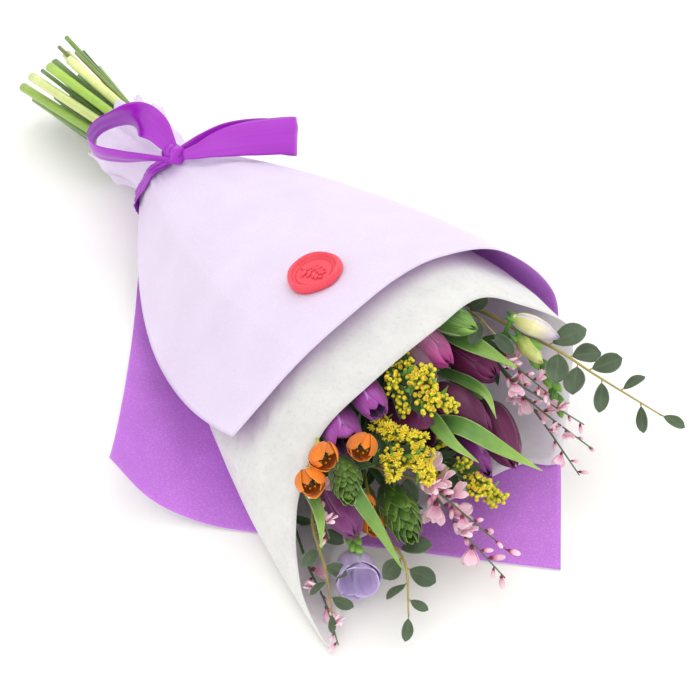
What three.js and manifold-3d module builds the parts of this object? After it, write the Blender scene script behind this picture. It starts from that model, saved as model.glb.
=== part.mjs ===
// A hand-tied bouquet of mixed spring flowers, lying on its side in a paper wrap.
//
// Frame, in millimetres: +X runs from the cut stems to the flowers, +Y to the
// bouquet's right, +Z up. The origin is on the flat underside of the paper, on
// the surface that the bouquet lies on. Every stem passes through the tie, at
// TIE_X, and fans out from there to its flower and to its cut end.

import * as THREE from 'three';
import { mergeVertices } from 'three/addons/utils/BufferGeometryUtils.js';
import Module from 'manifold-3d';

const wasm = await Module();
wasm.setup();

// ---------------------------------------------------------------- dimensions

const CLEARANCE = 0.3;            // gap kept between touching pieces
const SMALLEST_DETAIL = 0.03;     // slivers left by joins below this are smoothed away
const TIE_X = -194;               // where the bunch is tied
const TIE_Z = 34;                 // height of the bunch's middle at the tie
const BUNCH_RADIUS = 16.6;        // of the packed stems at the tie

const PAPER_THICKNESS = 0.8;
const PAPER_NECK = 21.2;          // radius of the gathered paper at the tie
const COLLAR = 50;                // length of paper past the tie, over the stems
const UNDERSIDE_RUN = 100;        // from the tie to where the underside lies flat
const PAPER_EDGE = [              // the free edge, in two stretches between three corners
  [[7, -175, 40], [28, -163, 14], [53, -145, 3], [92, -109, 0], [206, -2, 0]],
  [[206, -2, 0], [148, 52, 0], [111, 85, 6], [89, 102, 22], [76, 107, 58], [60, 73, 101],
    [54, 31, 115], [54, 1, 117], [58, -39, 112], [59, -75, 99], [54, -120, 62]],
];

const TISSUE_THICKNESS = 0.7;
const TISSUE_NECK = 19.4;
const TISSUE_FLOOR = 2.2;         // the tissue's height where it lies in the paper
const TISSUE_EDGE = [             // one closed loop from the tail round to the tail
  [[172, -141, 2], [153, -120, 2], [120, -95, 2], [128, -30, 2], [134, 34, 2], [146, 49, 3],
    [130, 72, 12], [111, 91, 50], [108, 91, 62], [99, 63, 89], [87, 34, 105], [91, 0, 106],
    [95, -53, 96], [96, -86, 81], [103, -107, 60], [117, -123, 42], [141, -136, 15], [172, -141, 2]],
];
const TISSUE_BILLOW = 0.1;        // share by which it would spread if the paper let it
const TISSUE_INSET = 3.4;         // kept between the middles of the two sheets
const SECTION_WINDOW = 0.15;      // radians either side in which the paper limits the tissue

const RIBBON_WIDTH = 25;
const RIBBON_THICKNESS = 0.8;
const KNOT_WIDTH = 6;             // of the ribbon where the knot draws it in
const KNOT_DRAW = 0.34;           // share of a loop's length over which it is drawn in
const BAND_WIDTH = 10;            // of the ribbon gathered round the neck
const BAND_X = -185;              // where it passes the bunch's sides
const BAND_LEAN = 9;              // how far it slants, towards the flowers on top
const BAND_SLACK = 0.8;

// ---------------------------------------------------------------- colours

const COLOURS = {
  paper: 0xd9c3ea, tissue: 0xeff0ec, ribbon: 0x9a2fc0, wax: 0xee4a5c, twine: 0xb59a6a,
  stem: 0x86a64a, leaf: 0x4f8a3c, burgundy: 0x5e1445, purple: 0x7a2b86, pink: 0xc0508f,
  mauve: 0x8d6a82, greenBud: 0x5f9a45, orange: 0xee8420, solidago: 0xe2c81e,
  genista: 0xf0a3bd, freesia: 0xd8d2a8, blueFreesia: 0xb9b6dd, eucalyptus: 0x5d7d66,
};

function finish(colour, roughness = 0.7) {
  return new THREE.MeshStandardMaterial({ color: colour, roughness, metalness: 0 });
}

// ---------------------------------------------------------------- small maths

const vec = (x, y, z) => new THREE.Vector3(x, y, z);
const from = (list) => new THREE.Vector3(...list);
const mix = (a, b, t) => a + (b - a) * t;
const clamp01 = (t) => Math.min(1, Math.max(0, t));
const rad = THREE.MathUtils.degToRad;
const GOLDEN_ANGLE = rad(137.5);

// A right-handed frame whose third axis is the given direction.
function frameAlong(direction, hint = vec(0, 0, 1)) {
  const axis = direction.clone().normalize();
  const helper = Math.abs(axis.dot(hint)) > 0.95 ? vec(0, 1, 0) : hint;
  const side = new THREE.Vector3().crossVectors(helper, axis).normalize();
  const up = new THREE.Vector3().crossVectors(axis, side);
  return { side, up, axis };
}

// A point given by its offsets along a frame's three axes.
function at(origin, frame, side, up, along) {
  return origin.clone().addScaledVector(frame.side, side)
    .addScaledVector(frame.up, up).addScaledVector(frame.axis, along);
}

// ---------------------------------------------------------------- solids

function signedVolume(points, faces) {
  let volume = 0;
  const cross = new THREE.Vector3();
  for (const [a, b, c] of faces) {
    volume += points[a].dot(cross.crossVectors(points[b], points[c])) / 6;
  }
  return volume;
}

// A solid from a closed set of triangles, turned so that its faces point out.
function solidOf(points, faces) {
  const outward = signedVolume(points, faces) > 0 ? faces : faces.map(([a, b, c]) => [a, c, b]);
  const geometry = new THREE.BufferGeometry();
  geometry.setAttribute('position', new THREE.Float32BufferAttribute(points.flatMap((p) => p.toArray()), 3));
  geometry.setIndex(outward.flat());
  return manifoldOf(geometry);
}

function manifoldOf(geometry) {
  const bare = geometry.clone();
  bare.deleteAttribute('normal');
  bare.deleteAttribute('uv');
  const merged = mergeVertices(bare, 1e-4);
  return new wasm.Manifold(new wasm.Mesh({
    numProp: 3,
    vertProperties: new Float32Array(merged.attributes.position.array),
    triVerts: new Uint32Array(merged.index.array),
  }));
}

// A solid between two grids of points, row by row; a wrapped grid closes on itself.
function slab(front, back, wrapped = false) {
  const rows = front.length;
  const columns = front[0].length;
  const points = [...front.flat(), ...back.flat()];
  const spans = wrapped ? columns : columns - 1;
  const faceF = (r, c) => r * columns + (c % columns);
  const faceB = (r, c) => rows * columns + faceF(r, c);
  const faces = [];
  const quad = (a, b, c, d) => faces.push([a, b, c], [a, c, d]);
  for (let r = 0; r < rows - 1; r += 1) {
    for (let c = 0; c < spans; c += 1) {
      quad(faceF(r, c), faceF(r, c + 1), faceF(r + 1, c + 1), faceF(r + 1, c));
      faces.push([faceB(r, c), faceB(r + 1, c + 1), faceB(r, c + 1)]);
      faces.push([faceB(r, c), faceB(r + 1, c), faceB(r + 1, c + 1)]);
    }
  }
  for (let c = 0; c < spans; c += 1) {
    quad(faceF(0, c), faceB(0, c), faceB(0, c + 1), faceF(0, c + 1));
    quad(faceF(rows - 1, c), faceF(rows - 1, c + 1), faceB(rows - 1, c + 1), faceB(rows - 1, c));
  }
  if (!wrapped) {
    const last = columns - 1;
    for (let r = 0; r < rows - 1; r += 1) {
      quad(faceF(r, 0), faceF(r + 1, 0), faceB(r + 1, 0), faceB(r, 0));
      quad(faceF(r, last), faceB(r, last), faceB(r + 1, last), faceF(r + 1, last));
    }
  }
  return solidOf(points, faces);
}

// The unit normal of a grid of points at one of them.
function gridNormal(grid, r, c, wrapped) {
  const columns = grid[0].length;
  const before = wrapped ? (c + columns - 1) % columns : Math.max(c - 1, 0);
  const after = wrapped ? (c + 1) % columns : Math.min(c + 1, columns - 1);
  const across = grid[r][after].clone().sub(grid[r][before]);
  const along = grid[Math.min(r + 1, grid.length - 1)][c].clone().sub(grid[Math.max(r - 1, 0)][c]);
  return across.cross(along).normalize();
}

// A sheet of even thickness whose middle is the grid, kept above the ground.
function sheet(grid, thickness, wrapped = false) {
  const shifted = (distance) => grid.map((row, r) => row.map((point, c) => {
    const moved = point.clone().addScaledVector(gridNormal(grid, r, c, wrapped), distance);
    moved.z = Math.max(moved.z, 0);
    return moved;
  }));
  return slab(shifted(thickness / 2), shifted(-thickness / 2), wrapped);
}

// The direction of travel at one of a list of points.
function heading(points, i) {
  return points[Math.min(i + 1, points.length - 1)].clone().sub(points[Math.max(i - 1, 0)]).normalize();
}

// A round bar along a list of points, with a radius at each of them.
function bar(points, radii, sides) {
  const radiusAt = Array.isArray(radii) ? (i) => radii[i] : () => radii;
  const rings = [];
  let side = frameAlong(points[1].clone().sub(points[0])).side;
  points.forEach((point, i) => {
    const ahead = heading(points, i);
    side = side.clone().addScaledVector(ahead, -side.dot(ahead)).normalize();
    const up = new THREE.Vector3().crossVectors(ahead, side);
    rings.push(Array.from({ length: sides }, (_, k) => {
      const angle = (k / sides) * 2 * Math.PI;
      return point.clone().addScaledVector(side, radiusAt(i) * Math.cos(angle))
        .addScaledVector(up, radiusAt(i) * Math.sin(angle));
    }));
  });
  return capped(rings);
}

// A solid through a list of rings of points, with flat fans over its two ends.
function capped(rings) {
  const sides = rings[0].length;
  const points = rings.flat();
  const faces = [];
  for (let r = 0; r < rings.length - 1; r += 1) {
    for (let k = 0; k < sides; k += 1) {
      const next = (k + 1) % sides;
      faces.push([r * sides + k, r * sides + next, (r + 1) * sides + next]);
      faces.push([r * sides + k, (r + 1) * sides + next, (r + 1) * sides + k]);
    }
  }
  const top = (rings.length - 1) * sides;
  for (let k = 1; k < sides - 1; k += 1) {
    faces.push([0, k + 1, k]);
    faces.push([top, top + k, top + k + 1]);
  }
  return solidOf(points, faces);
}

// A pod turned about the line from its base to its tip; its profile lists places
// along that line, each with a share of the radius.
function pod(base, tip, radius, profile, sides = 6) {
  const line = tip.clone().sub(base);
  const frame = frameAlong(line);
  const length = line.length();
  const rings = profile.map(([along, share]) => Array.from({ length: sides }, (_, k) => {
    const angle = (k / sides) * 2 * Math.PI;
    const reach = radius * share;
    return at(base, frame, reach * Math.cos(angle), reach * Math.sin(angle), length * along);
  }));
  return capped(rings);
}

// A leaf blade along a route: widths at its points, and how far its edges lift.
function blade(route, widths, lift, thickness, facing = vec(0.2, -0.4, 0.9)) {
  const grid = route.map((point, i) => {
    const ahead = heading(route, i);
    const across = new THREE.Vector3().crossVectors(facing, ahead).normalize();
    const up = new THREE.Vector3().crossVectors(ahead, across);
    return [-1, 0, 1].map((edge) => point.clone().addScaledVector(across, edge * widths[i] / 2)
      .addScaledVector(up, Math.abs(edge) * lift * widths[i] / 2));
  });
  return sheet(grid, thickness);
}

// The point at a share of the way along a list of points.
function along(line, share) {
  const place = clamp01(share) * (line.length - 1);
  const before = Math.min(Math.floor(place), line.length - 2);
  return line[before].clone().lerp(line[before + 1], place - before);
}

// Points at even steps on a smooth curve through a few.
function smooth(points, steps) {
  return new THREE.CatmullRomCurve3(points, false, 'centripetal').getPoints(steps);
}

function joined(solids) {
  return solids.slice(1).reduce((whole, solid) => whole.add(solid), solids[0]);
}

// A copy that is larger by a distance all round, used to keep neighbours clear.
function grown(solid, distance) {
  const mesh = solid.getMesh();
  const count = mesh.numVert;
  const points = Array.from({ length: count }, (_, i) => vec(...mesh.vertProperties.slice(3 * i, 3 * i + 3)));
  const normals = points.map(() => vec(0, 0, 0));
  const faces = [];
  for (let t = 0; t < mesh.numTri; t += 1) {
    const [a, b, c] = mesh.triVerts.slice(3 * t, 3 * t + 3);
    const edge = points[b].clone().sub(points[a]);
    const normal = edge.cross(points[c].clone().sub(points[a])).normalize();
    for (const corner of [a, b, c]) normals[corner].add(normal);
    faces.push([a, b, c]);
  }
  return solidOf(points.map((p, i) => p.addScaledVector(normals[i].normalize(), distance)), faces);
}

// ---------------------------------------------------------------- the wrap

// A stretch of edge as a smooth curve; the whole edge takes its stretches in turn.
function edgeCurve(stretches) {
  const curves = stretches.map((list) => new THREE.CatmullRomCurve3(list.map(from), false, 'centripetal'));
  const shares = stretches.length === 1 ? [0, 1] : [0, 0.25, 1];
  return (s) => {
    const k = s < shares[1] || curves.length === 1 ? 0 : 1;
    return curves[k].getPoint(clamp01((s - shares[k]) / (shares[k + 1] - shares[k])));
  };
}

const paperEdge = edgeCurve(PAPER_EDGE);
const tissueEdge = edgeCurve(TISSUE_EDGE);
const MIDDLE_HEIGHT = 45;         // of the bouquet's middle line at its mouth

// A sheet of wrap: straight folds from a neck ring to an edge, eased on to the ground.
function wrapPoint(edge, neckY, neckZ, v, floor, fullness, drop) {
  const x = mix(TIE_X, edge.x, v);
  const spread = 1 - (1 - v) ** fullness;
  const low = clamp01((100 - edge.z) / 55);
  const ease = clamp01(1 - (x - TIE_X) / UNDERSIDE_RUN) ** drop;
  const under = mix(floor, neckZ, ease) + Math.max(0, edge.z - floor) * v ** 3;
  const over = mix(neckZ, edge.z, v);
  return vec(x, mix(neckY, edge.y, spread), Math.max(floor, mix(over, under, low)));
}

const PAPER_COLUMNS = 20;
const PAPER_START = -178;         // degrees round the neck from the right side, -90 underneath
const PAPER_END = 171;
const TISSUE_START = -155;

// A point of the paper: s runs round the edge, v from the tie (0) to the edge (1),
// and below 0 along the collar to its end (-1).
function paperPoint(s, v) {
  const edge = paperEdge(s);
  const angle = rad(mix(PAPER_START, PAPER_END, s));
  const pleat = Math.cos(Math.PI * PAPER_COLUMNS * s);
  const flare = v < 0 ? 6.5 * v * v : 0;
  const fold = v < 0 ? mix(0.5, 1.5, -v) : 0.5 + 0.7 * Math.sin(Math.PI * Math.min(1, v * 2.2));
  const radius = PAPER_NECK + flare + fold * pleat;
  const y = radius * Math.cos(angle);
  const z = TIE_Z + radius * Math.sin(angle);
  if (v < 0) return vec(TIE_X + COLLAR * v * (1 + 0.06 * pleat), y, z);
  const fullness = 1 + 1.1 * THREE.MathUtils.smoothstep(s, 0.1, 0.28);
  const drop = 1.6 + 1.2 * (1 - THREE.MathUtils.smoothstep(s, 0.02, 0.2));
  return wrapPoint(edge, y, z, v, PAPER_THICKNESS / 2, fullness, drop);
}

// How far the paper, where it has left the ground, stands from the bunch's middle
// line, by angle, at one distance along it.
function paperSection(x) {
  const middle = middleHeight(x);
  const samples = [];
  for (let k = 0; k <= 160; k += 1) {
    const s = k / 160;
    const v = (x - TIE_X) / (paperEdge(s).x - TIE_X);
    if (v > 1.02) continue;
    const point = paperPoint(s, Math.min(v, 1));
    if (point.z < TISSUE_FLOOR) continue;
    samples.push([Math.atan2(point.z - middle, point.y), Math.hypot(point.y, point.z - middle)]);
  }
  return samples;
}

// The paper's distances from that line at one bearing and a little to either side.
function paperReaches(x, bearing) {
  const apart = (angle) => Math.abs(Math.atan2(Math.sin(angle - bearing), Math.cos(angle - bearing)));
  return paperSection(x).filter(([angle]) => apart(angle) < SECTION_WINDOW).map(([, reach]) => reach);
}

// The height of the bunch's middle line.
function middleHeight(x) {
  return mix(TIE_Z, MIDDLE_HEIGHT, clamp01((x - TIE_X) / 200));
}

// The tissue, full enough to press against the paper, and held inside it.
function tissuePoint(s, v) {
  const edge = tissueEdge(s);
  const x = mix(TIE_X, edge.x, v);
  const middle = middleHeight(x);
  const edgeBearing = Math.atan2(edge.z - MIDDLE_HEIGHT, edge.y);
  const turned = s > 0.5 && edgeBearing < 0 ? edgeBearing + 2 * Math.PI : edgeBearing;
  const bearing = mix(rad(TISSUE_START + 360 * s), turned, 1 - (1 - v) ** 2);
  const edgeReach = Math.hypot(edge.y, edge.z - MIDDLE_HEIGHT);
  const billow = 1 + TISSUE_BILLOW * Math.sin(Math.PI * v);
  const fullness = mix(1.7, 1.1, Math.cos(Math.PI * s) ** 8);   // flatter towards its tail
  const reach = mix(TISSUE_NECK, edgeReach, 1 - (1 - v) ** fullness) * billow;
  const paperLimit = Math.min(...paperReaches(x, bearing)) - TISSUE_INSET;
  const down = Math.max(-Math.sin(bearing), 1e-6);
  const groundLimit = (middle - TISSUE_FLOOR) / down;
  const kept = Math.min(reach, paperLimit, groundLimit);
  return vec(x, kept * Math.cos(bearing), middle + kept * Math.sin(bearing));
}

function paperWrap() {
  const steps = [-1, -0.55, 0, 0.05, 0.14, 0.28, 0.45, 0.63, 0.82, 1];
  const row = (v) => Array.from({ length: PAPER_COLUMNS + 1 }, (_, k) => paperPoint(k / PAPER_COLUMNS, v));
  const grid = steps.map(row);
  return sheet(grid, PAPER_THICKNESS);
}

function tissueLiner() {
  const columns = 22;
  const steps = [0, 0.06, 0.17, 0.34, 0.52, 0.7, 0.86, 1];
  const grid = steps.map((v) => Array.from({ length: columns }, (_, k) => tissuePoint(k / columns, v)));
  return sheet(grid, TISSUE_THICKNESS, true);
}

// ---------------------------------------------------------------- the flowers' places

// Each tulip: its bloom's base and tip, its width, how far it has opened, and the
// route and width of the leaf that shows beside it.
const TULIPS = [
  { name: 'green_bud', colour: 'greenBud', base: [68, 12, 93], tip: [98, 23, 94], width: 19, open: 0 },
  { name: 'pink', colour: 'pink', base: [58, 2, 79], tip: [100, 2, 80], width: 22, open: 0.1 },
  { name: 'mauve', colour: 'mauve', base: [76, -17, 86], tip: [108, -16, 85], width: 15, open: 0 },
  { name: 'upper', colour: 'burgundy', base: [72, 24, 62], tip: [114, 26, 65], width: 23, open: 0.15,
    leaf: { route: [[58, 24, 72], [86, 21, 79], [104, 25, 80], [122, 33, 76]], width: 12 } },
  { name: 'middle', colour: 'burgundy', base: [90, -6, 57], tip: [137, 1, 54], width: 26, open: 0.1,
    leaf: { route: [[76, 9, 54], [110, 9, 68], [127, 6, 74], [142, 0, 72]], width: 7 } },
  { name: 'right', colour: 'burgundy', base: [107, 23, 42], tip: [150, 11, 29], width: 24, open: 0.1 },
  { name: 'lower', colour: 'purple', base: [104, -4, 26], tip: [148, -6, 32], width: 24, open: 0.1,
    leaf: { route: [[96, -20, 44], [131, -16, 66], [152, -4, 58], [170, 12, 44]], width: 11 } },
  { name: 'dark_cup', colour: 'burgundy', base: [86, -36, 58], tip: [124, -36, 62], width: 26, open: 0.5,
    leaf: { route: [[78, -20, 50], [117, -26, 67], [135, -26, 63], [150, -19, 55]], width: 9 } },
  { name: 'left_cup', colour: 'purple', base: [74, -66, 69], tip: [111, -81, 76], width: 22, open: 0.5,
    leaf: { route: [[95, -80, 60], [131, -94, 69], [151, -92, 53], [173, -91, 36]], width: 9 } },
  { name: 'left_bud', colour: 'purple', base: [72, -47, 80], tip: [109, -58, 86], width: 19, open: 0.3 },
  { name: 'low_bud', colour: 'mauve', base: [104, -90, 46], tip: [146, -103, 48], width: 23, open: 0,
    leaf: { route: [[90, -98, 46], [129, -115, 60], [145, -126, 56]], width: 7 } },
];

// Star-of-Bethlehem spikes: the tip's cone of green bracts, and the open florets below it.
const SPIKES = [
  { name: 'left', base: [108, -84, 64], tip: [136, -100, 70], radius: 9, bloom: 9,
    florets: [[112, -100, 84], [115, -111, 74], [118, -77, 82]] },
  { name: 'lower', base: [122, -62, 38], tip: [156, -72, 36], radius: 11, bloom: 7,
    florets: [[130, -86, 50], [134, -82, 33]] },
];

// Goldenrod sprays: a main stem and how many side twigs it carries, each beaded with florets.
const GOLDENRODS = [
  { name: 'top', stem: [[70, -34, 86], [96, -34, 92], [112, -28, 92]], twigs: 4, reach: 14, turn: 0.4 },
  { name: 'left', stem: [[82, -34, 82], [104, -38, 90], [122, -24, 86]], twigs: 4, reach: 16, turn: 1.2 },
  { name: 'middle', stem: [[90, -50, 66], [118, -60, 72], [138, -50, 62]], twigs: 5, reach: 18, turn: 2.1 },
  { name: 'right', stem: [[104, -28, 44], [134, -28, 42], [158, -12, 30]], twigs: 4, reach: 14, turn: 0.9 },
];

// Broom: thin green twigs from one branch, with pink pea flowers set along them.
const BROOMS = [
  { name: 'right', root: [86, 42, 58], twigs: [
    [[110, 37, 70], [138, 44, 61]], [[118, 35, 62], [160, 54, 46]],
    [[124, 38, 52], [170, 53, 34]], [[130, 42, 42], [174, 40, 24]]], flowers: 4 },
  { name: 'lower', root: [104, -48, 52], twigs: [
    [[131, -50, 54], [150, -43, 42], [188, -24, 14]],
    [[136, -46, 44], [164, -43, 28], [196, -36, 10]]], flowers: 6 },
  { name: 'left', root: [88, -92, 56], twigs: [[[112, -104, 57], [140, -117, 52]]], flowers: 5 },
  { name: 'tail', root: [94, -110, 24], twigs: [
    [[124, -120, 14], [148, -126, 9], [172, -136, 6]]], flowers: 5 },
];

// Freesias: an arching stem with buds along it, largest first, and an open bloom on one.
const FREESIAS = [
  { name: 'cream', stem: [[84, 36, 66], [104, 46, 80], [124, 53, 64], [137, 54, 48]], small: 5,
    buds: [{ base: [98, 50, 88], tip: [122, 66, 80], radius: 6.2 },
      { base: [106, 47, 80], tip: [126, 50, 72], radius: 5 }] },
  { name: 'blue', stem: [[96, -84, 24], [122, -90, 27], [139, -98, 30]], small: 4,
    open: { base: [136, -98, 18], tip: [156, -109, 22], radius: 11, spread: 0.7 }, buds: [] },
];

// Eucalyptus: each twig's route, and its leaves as pairs along it.
const EUCALYPTUS = [
  { name: 'right', route: [[74, 50, 74], [100, 58, 72], [126, 63, 74], [152, 66, 74], [190, 84, 60]],
    leaves: 9, size: 21, first: 0.42 },
  { name: 'upper', route: [[58, 30, 76], [82, 34, 88], [100, 33, 88]], leaves: 3, size: 20, first: 0.4 },
  { name: 'lower', route: [[104, -58, 14], [138, -75, 21], [163, -82, 26], [187, -99, 18]],
    leaves: 6, size: 17, first: 0.5 },
  { name: 'left', route: [[92, -88, 36], [118, -112, 40], [141, -121, 31], [160, -131, 18]],
    leaves: 6, size: 16, first: 0.4 },
  { name: 'inner', route: [[88, -70, 40], [120, -62, 52], [140, -34, 34]], leaves: 4, size: 16, first: 0.5 },
];

const BRANCH_RADIUS = {
  tulip: 3.4, star_of_bethlehem: 2.4, goldenrod: 1.6, broom: 1.4, freesia: 1.8, eucalyptus: 1.5,
};
const TULIP_STEM_TIP = 2.9;       // a tulip's stem, narrower under its bloom
const CUT_END_SPREAD = 1.75;      // how much wider the bunch is at its cut ends than at the tie
const CUT_END_TWIST = rad(38);    // the spiral that the stems are laid in
const CUT_END_X = -318;
const GROUND_CLEAR = 0.6;
const TIE_HOLD = 5;               // half the length over which the stems lie side by side
const LEAF_SHARE = 0.72;          // where a leaf leaves its stem, from the tie to the flower

// ---------------------------------------------------------------- the bunch at the tie

// Every stem, with the place that its flower would have it cross the tie.
function stemList() {
  const lists = [
    [TULIPS, 'tulip', (item) => item.base], [SPIKES, 'star_of_bethlehem', (item) => item.base],
    [GOLDENRODS, 'goldenrod', (item) => item.stem[0]], [BROOMS, 'broom', (item) => item.root],
    [FREESIAS, 'freesia', (item) => item.stem[0]], [EUCALYPTUS, 'eucalyptus', (item) => item.route[0]],
  ];
  return lists.flatMap(([items, kind, headOf]) => items.map((item) => {
    const head = from(headOf(item));
    return {
      item, kind, head, radius: BRANCH_RADIUS[kind],
      y: head.y * 0.17, z: (head.z - 55) * 0.3,
    };
  }));
}

// Pushes the stems' circles apart and towards the middle until they lie side by side.
function packStems(stems) {
  for (let round = 0; round < 900; round += 1) {
    for (const a of stems) {
      a.y *= 0.998;
      a.z *= 0.998;
      for (const b of stems) {
        if (a === b) continue;
        const gap = Math.hypot(a.y - b.y, a.z - b.z) || 1e-3;
        const push = (a.radius + b.radius + 2 * CLEARANCE - gap) / 2;
        if (push <= 0) continue;
        const dy = ((a.y - b.y) / gap) * push;
        const dz = ((a.z - b.z) / gap) * push;
        a.y += dy;
        a.z += dz;
        b.y -= dy;
        b.z -= dz;
      }
      const out = Math.hypot(a.y, a.z) / (BUNCH_RADIUS - a.radius);
      if (out > 1) {
        a.y /= out;
        a.z /= out;
      }
    }
  }
  return stems;
}

// A stem's route: from its cut end, through the tie, to the point that it carries.
function stemRoute(stem, index) {
  const turnedY = CUT_END_SPREAD * (stem.y * Math.cos(CUT_END_TWIST) - stem.z * Math.sin(CUT_END_TWIST));
  const turnedZ = CUT_END_SPREAD * (stem.y * Math.sin(CUT_END_TWIST) + stem.z * Math.cos(CUT_END_TWIST));
  const endX = CUT_END_X - 30 * ((index * 0.618) % 1);
  const reach = (TIE_X - endX) / (TIE_X - CUT_END_X);
  const end = vec(endX, mix(stem.y, turnedY, reach), TIE_Z + mix(stem.z, turnedZ, reach));
  end.z = Math.max(end.z, stem.radius + GROUND_CLEAR);
  const before = vec(TIE_X - TIE_HOLD, stem.y, TIE_Z + stem.z);
  const after = vec(TIE_X + TIE_HOLD, stem.y, TIE_Z + stem.z);
  return [end, before, after, after.clone().lerp(stem.head, LEAF_SHARE), stem.head];
}

// ---------------------------------------------------------------- pieces of plants

const PETALS = 6;
const PETAL_STEPS = 3;            // points across each petal

// A cupped bloom, lofted round the line from its base to its tip: three petals inside
// three, each with a keel, an edge that steps in to the next, and a pointed tip.
function bloomCup({ base, tip, width, open }) {
  const foot = from(base);
  const line = from(tip).sub(foot);
  const frame = frameAlong(line);
  const length = line.length();
  const radius = width / 2;
  const rim = mix(0.3, 0.95, open);
  // place along the bloom, share of the radius, how far the petals' edges drop below their tips
  const rows = [[0, 0.3, 0], [0.16, 0.78, 0], [0.42, 1, 0], [0.72, mix(0.86, 1.02, open), 0.04],
    [1, rim, 0.16], [mix(0.9, 0.72, open), rim * mix(0.5, 0.8, open), 0.1],
    [mix(0.84, 0.42, open), rim * 0.35, 0]];
  const points = { length: PETALS * PETAL_STEPS };
  const rings = rows.map(([along, share, drop], row) => Array.from(points, (_, k) => {
    const inner = Math.floor(k / PETAL_STEPS) % 2 === 1;
    const edge = k % PETAL_STEPS - 1;
    const angle = (k / (PETALS * PETAL_STEPS)) * 2 * Math.PI;
    const layer = row < 4 ? (inner ? 0.9 : 1) * (edge === 0 ? 1.03 : 0.98) : 1;
    const spread = row === 4 && edge !== 0 ? 1.25 : 1;
    const height = along * (inner ? 1 : 0.95) - drop * Math.abs(edge);
    const reach = radius * share * layer * spread;
    return at(foot, frame, reach * Math.cos(angle), reach * Math.sin(angle), length * height);
  }));
  return capped(rings);
}

function leafBlade({ route, width }) {
  const points = smooth(route.map(from), 6);
  const widths = [0.45, 0.8, 1, 1, 0.85, 0.5, 0.08].map((share) => Math.max(1.2, share * width));
  return blade(points, widths, 0.3, 1);
}

// A tulip's stem with its leaf, which leaves the stem behind the bloom.
function tulipStem(stem, route) {
  const radii = route.map((_, i) => mix(stem.radius, TULIP_STEM_TIP, i / (route.length - 1)));
  const away = stem.head.clone().sub(route.at(-2)).normalize();
  const points = [...route.slice(0, -1), stem.head.clone().addScaledVector(away, -CLEARANCE)];
  const solid = bar(points, radii, 5);
  if (!stem.item.leaf) return solid;
  const foot = points.at(-2);
  const leaf = leafBlade({ route: [foot.toArray(), ...stem.item.leaf.route], width: stem.item.leaf.width });
  return solid.add(leaf);
}

// An open six-petalled floret facing along a direction, about a dark eye.
function floret(centre, facing, radius) {
  const frame = frameAlong(facing);
  // at a petal's middle and between two petals: distance out, and height
  const rows = [[[1.2, -2], [1.2, -2]], [[0.5 * radius, 0.8], [0.4 * radius, 0.8]],
    [[radius, 4.6], [0.5 * radius, 2.6]], [[0.4 * radius, 2.9], [0.3 * radius, 2.7]],
    [[1.6, 4.4], [1.6, 4.4]]];
  return capped(rows.map((pair) => Array.from({ length: 2 * PETALS }, (_, k) => {
    const [out, height] = pair[k % 2];
    const angle = (k / (2 * PETALS)) * 2 * Math.PI;
    return at(centre, frame, out * Math.cos(angle), out * Math.sin(angle), height);
  })));
}

const TWIG_STEPS = 5;
const WHORLS = 4;
const BRACTS = 5;                 // in each whorl of a cone

// A spike's cone of buds: whorls of bracts, each flaring at its points over the next.
function bractCone(base, tip, radius) {
  const frame = frameAlong(tip.clone().sub(base));
  const length = tip.distanceTo(base);
  return capped(Array.from({ length: 2 * WHORLS + 1 }, (_, row) => {
    const share = row / (2 * WHORLS);
    const body = radius * Math.sin(Math.PI * mix(0.22, 0.97, share));
    const flared = row % 2 === 1;
    return Array.from({ length: 2 * BRACTS }, (__, k) => {
      const point = (k + Math.floor(row / 2)) % 2 === 0;
      const reach = body * (flared ? (point ? 1.16 : 0.84) : 0.8);
      const angle = (k / (2 * BRACTS)) * 2 * Math.PI;
      const height = length * (share + (flared && point ? 0.05 : 0));
      return at(base, frame, reach * Math.cos(angle), reach * Math.sin(angle), height);
    });
  }));
}

function spike(stem, route) {
  const { base, tip, radius, florets, bloom } = stem.item;
  const foot = from(base);
  const inside = from(tip).sub(foot).multiplyScalar(0.3).add(foot);
  const solid = bar([...route, inside], stem.radius, 6);
  const start = route.at(-2);
  const open = florets.flatMap((place, k) => {
    const centre = from(place);
    const joint = start.clone().lerp(foot, 0.55 + 0.1 * k);
    const facing = centre.clone().sub(joint).normalize().lerp(vec(0.6, -0.45, 0.5), 0.55).normalize();
    return [bar([joint, centre.clone().addScaledVector(facing, -0.5)], 1, 4), floret(centre, facing, bloom)];
  });
  return joined([solid, bractCone(foot, from(tip), radius), ...open]);
}

// A goldenrod twig, knobbly all round with small round florets.
function beadedTwig(root, end, size) {
  const frame = frameAlong(end.clone().sub(root));
  const length = end.distanceTo(root);
  const rows = 2 * Math.round(length / 5.4) + 1;
  return capped(Array.from({ length: rows }, (_, row) => Array.from({ length: 4 }, (__, k) => {
    const bead = (row + k) % 2 === 1 && row > 1 && row < rows - 1;
    const reach = bead ? size : size * 0.42;
    const angle = (k / 4) * 2 * Math.PI + 0.3 * row;
    return at(root, frame, reach * Math.cos(angle), reach * Math.sin(angle), (length * row) / (rows - 1));
  })));
}

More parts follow.
